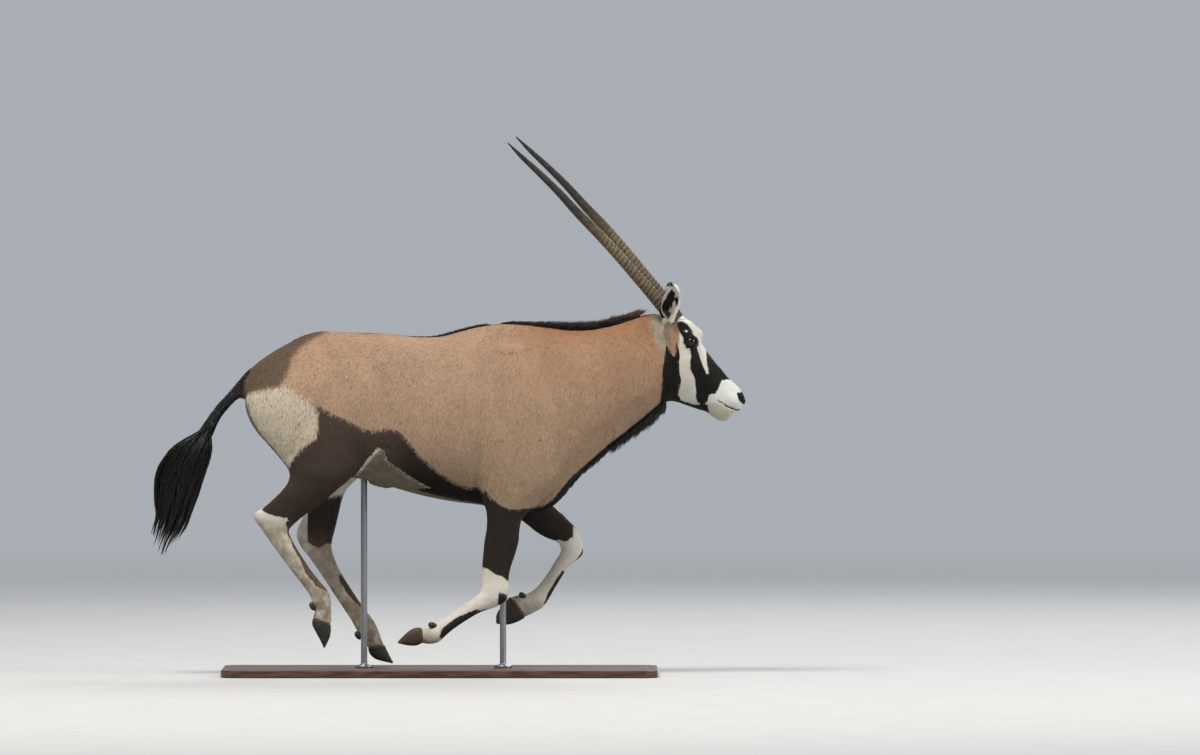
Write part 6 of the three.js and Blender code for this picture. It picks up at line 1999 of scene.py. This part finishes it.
def hoof_material():
    m = Mat("hoof_keratin")
    s, across, seed = m.vec("claw")
    iso = m.place()
    n1 = m.noise(iso, 130, 4)
    n2 = m.noise(iso, 520, 2)
    rings = m.math("SINE", m.math("ADD", m.math("MULTIPLY", s, 46.0), m.math("MULTIPLY", n1, 9.0)))
    c = m.mix(m.range(n1, 0.3, 0.7), lin(27, 25, 22), lin(46, 41, 34))
    c = m.mix(m.math("MULTIPLY", m.range(rings, 0.2, 1.0), 0.12), c, lin(92, 80, 68))
    c = m.mix(m.math("MULTIPLY", m.range(s, 0.55, 1.0), m.range(n1, 0.35, 0.7, 0.2, 0.6)), c, lin(120, 102, 82))
    c = m.mix(m.math("MULTIPLY", m.range(seed, 0.5, 0.9), 0.25), c, lin(96, 72, 54))
    rough = m.range(n1, 0.25, 0.75, 0.42, 0.70, False)
    nb = m.bump(rings, 0.10, 0.0005)
    nb = m.bump(n2, 0.35, 0.0006, nb)
    nb = m.bump(n1, 0.30, 0.0015, nb)
    return m.done(c, rough, nb, Specular_IOR_Level=0.32)


def eye_material():
    m = Mat("eye_wet")
    x_, y_, z_ = m.vec("iris")
    n1 = m.noise(m.place(), 420, 3)
    r2 = m.math("SQRT", m.math("ADD", m.math("MULTIPLY", x_, x_), m.math("MULTIPLY", y_, y_)))
    pu = m.math("SQRT", m.math("ADD", m.math("POWER", m.math("DIVIDE", x_, 0.46), 2.0), m.math("POWER", m.math("DIVIDE", y_, 0.21), 2.0)))
    c = m.mix(m.range(n1, 0.3, 0.7), lin(34, 21, 13), lin(22, 14, 10))
    c = m.mix(m.range(r2, 0.50, 0.68), c, lin(13, 10, 9))
    c = m.mix(m.range(r2, 0.80, 0.90), c, lin(26, 20, 17))
    c = m.mix(m.range(pu, 1.05, 0.92), c, lin(7, 8, 12))
    rough = m.range(n1, 0.2, 0.8, 0.03, 0.07, False)
    return m.done(c, rough, m.bump(n1, 0.02, 0.0002), Coat_Weight=0.18, Coat_Roughness=0.02, IOR=1.36)


def wood_material():
    m = Mat("stand_wood_dark")
    g_ = m.noise(m.place((0.6, 7, 7)), 3.2, 6, 0.6)
    f_ = m.noise(m.place((2.5, 60, 60)), 5.0, 3)
    n1 = m.noise(m.place(), 7, 3)
    rings = m.math("SINE", m.math("MULTIPLY", g_, 46.0))
    c = m.mix(m.range(rings, -0.8, 0.9), lin(60, 40, 29), lin(88, 60, 42))
    c = m.mix(m.math("MULTIPLY", m.range(f_, 0.52, 0.72), 0.55), c, lin(38, 25, 19))
    c = m.scale_col(c, m.range(n1, 0.3, 0.7, 0.9, 1.1, False))
    rough = m.range(f_, 0.3, 0.7, 0.34, 0.50, False)
    nb = m.bump(f_, 0.25, 0.0006)
    nb = m.bump(rings, 0.10, 0.0004, nb)
    return m.done(c, rough, nb, Specular_IOR_Level=0.4)


def steel_material():
    m = Mat("stand_steel")
    f_ = m.noise(m.place((8, 8, 0.5)), 160, 3)
    n1 = m.noise(m.place(), 24, 3)
    c = m.mix(m.range(f_, 0.3, 0.7), lin(158, 160, 163), lin(134, 136, 140))
    c = m.mix(m.math("MULTIPLY", m.range(n1, 0.55, 0.75), 0.25), c, lin(112, 112, 114))
    rough = m.range(f_, 0.3, 0.7, 0.26, 0.42, False)
    return m.done(c, rough, m.bump(f_, 0.12, 0.0003), Metallic=1.0)


def floor_material():
    m = Mat("floor_pale")
    n1 = m.noise(m.place(), 5.0, 4)
    n2 = m.noise(m.place(), 46, 4)
    c = m.mix(m.range(n1, 0.3, 0.7), lin(182, 181, 178), lin(186, 185, 182))
    c = m.scale_col(c, m.range(n2, 0.3, 0.7, 0.985, 1.015, False))
    m.done(c, m.range(n2, 0.3, 0.7, 0.72, 0.86, False), m.bump(n2, 0.08, 0.0008), Specular_IOR_Level=0.3)
    c_ = m.node("ShaderNodeTexCoord")
    ln = m.node("ShaderNodeVectorMath")
    ln.operation = "LENGTH"
    m.t.links.new(c_.outputs["Object"], ln.inputs[0])
    fade = m.range(ln.outputs["Value"], 4.0, 19.0, 0, 1)
    tr = m.node("ShaderNodeBsdfTransparent")
    mx = m.node("ShaderNodeMixShader")
    m.put(mx.inputs[0], fade)
    m.t.links.new(m.b.outputs[0], mx.inputs[1])
    m.t.links.new(tr.outputs[0], mx.inputs[2])
    m.t.links.new(mx.outputs[0], m.out.inputs[0])
    return m.m


COAT, LONG = coat_material(), hair_material()
HORN_M, HOOF_M, EYE_M, WOOD, STEEL, FLOOR_M = (horn_material(), hoof_material(), eye_material(), wood_material(), steel_material(),
                                               floor_material())
by_kind = (("skin", COAT), ("coat_", COAT), ("ear_coat", COAT), ("mane_locks", LONG), ("back_line", LONG), ("throat_", LONG), ("tail_", LONG),
           ("horn_root", LONG), ("horn_sheath", HORN_M), ("claw_", HOOF_M), ("dew_", HOOF_M), ("eyeball_", EYE_M), ("plinth", WOOD), ("rod_", STEEL))
for ob in list(COLL.objects):
    if ob.type == "MESH" and not ob.data.materials:
        for start_, mat in by_kind:
            if ob.name.startswith(start_):
                ob.data.materials.append(mat)
                break

# =====================================================================
# floor, light and camera
# =====================================================================
rad = np.concatenate([[0.0], np.geomspace(0.5, 42.0, 26)])
seg = 72
fw = np.arange(seg) * 2 * np.pi / seg
FV = [[0.0, 0.0, 0.0]]
for r_ in rad[1:]:
    FV += [[r_ * math.cos(w_), r_ * math.sin(w_), 0.0] for w_ in fw]
FQ = []
for i_ in range(1, len(rad) - 1):
    for j_ in range(seg):
        a_ = 1 + (i_ - 1) * seg
        FQ.append([a_ + j_, a_ + seg + j_, a_ + seg + (j_ + 1) % seg, a_ + (j_ + 1) % seg])
FT = [[0, 1 + j_, 1 + (j_ + 1) % seg] for j_ in range(seg)]
floor = make("floor", np.array(FV), [np.array(FQ), np.array(FT)], True)
floor.location = (0.0, 0.0, -0.0006)
floor.data.materials.append(FLOOR_M)
floor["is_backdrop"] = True

scene = bpy.context.scene
world = bpy.data.worlds.new("studio")
world.use_nodes = True
bg = world.node_tree.nodes["Background"]
bg.inputs[0].default_value = (0.80, 0.85, 0.92, 1)
bg.inputs[1].default_value = 0.50
scene.world = world


def area(name, at, aim, size, watts, tone):
    d = bpy.data.lights.new(name, "AREA")
    d.shape = "DISK"
    d.size = size
    d.energy = watts
    d.color = tone
    o_ = bpy.data.objects.new(name, d)
    COLL.objects.link(o_)
    o_.location = at
    from mathutils import Vector
    o_.rotation_euler = (Vector(aim) - Vector(at)).to_track_quat("-Z", "Y").to_euler()
    return o_


area("key", (-3.0, -5.5, 11.0), (0.0, 0.0, 0.9), 4.2, 1560, (1.0, 0.975, 0.93))
area("fill_back", (3.5, 8.5, 8.0), (0.0, 0.0, 0.9), 6.0, 620, (0.92, 0.96, 1.0))
area("fill_front", (9.0, -3.0, 4.0), (0.2, 0.0, 0.9), 4.0, 400, (1.0, 0.98, 0.95))

cam = bpy.data.cameras.new("camera")
cam.lens = 400
cam.sensor_width = 36
cam.sensor_fit = "HORIZONTAL"
cam.clip_start = 1.0
cam.clip_end = 400
co = bpy.data.objects.new("camera", cam)
COLL.objects.link(co)
co.location = (0.552, -46.0, 1.553)
from mathutils import Vector as Vec
co.rotation_euler = (Vec((0.552, 0.0, 1.027)) - co.location).to_track_quat("-Z", "Y").to_euler()
scene.camera = co
scene.view_settings.view_transform = "Standard"
scene.view_settings.look = "None"
scene.view_settings.exposure = 0.0
scene.view_settings.gamma = 1.0

total = 0
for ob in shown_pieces():
    if ob.type == "MESH":
        k_ = sum(len(p_.vertices) - 2 for p_ in ob.data.polygons) if len(ob.data.polygons) < 3000 else int(
            len(ob.data.loops) - 2 * len(ob.data.polygons))
        total += k_
        if k_ > 20000:
            print(ob.name, k_)
print("triangles in all:", total)
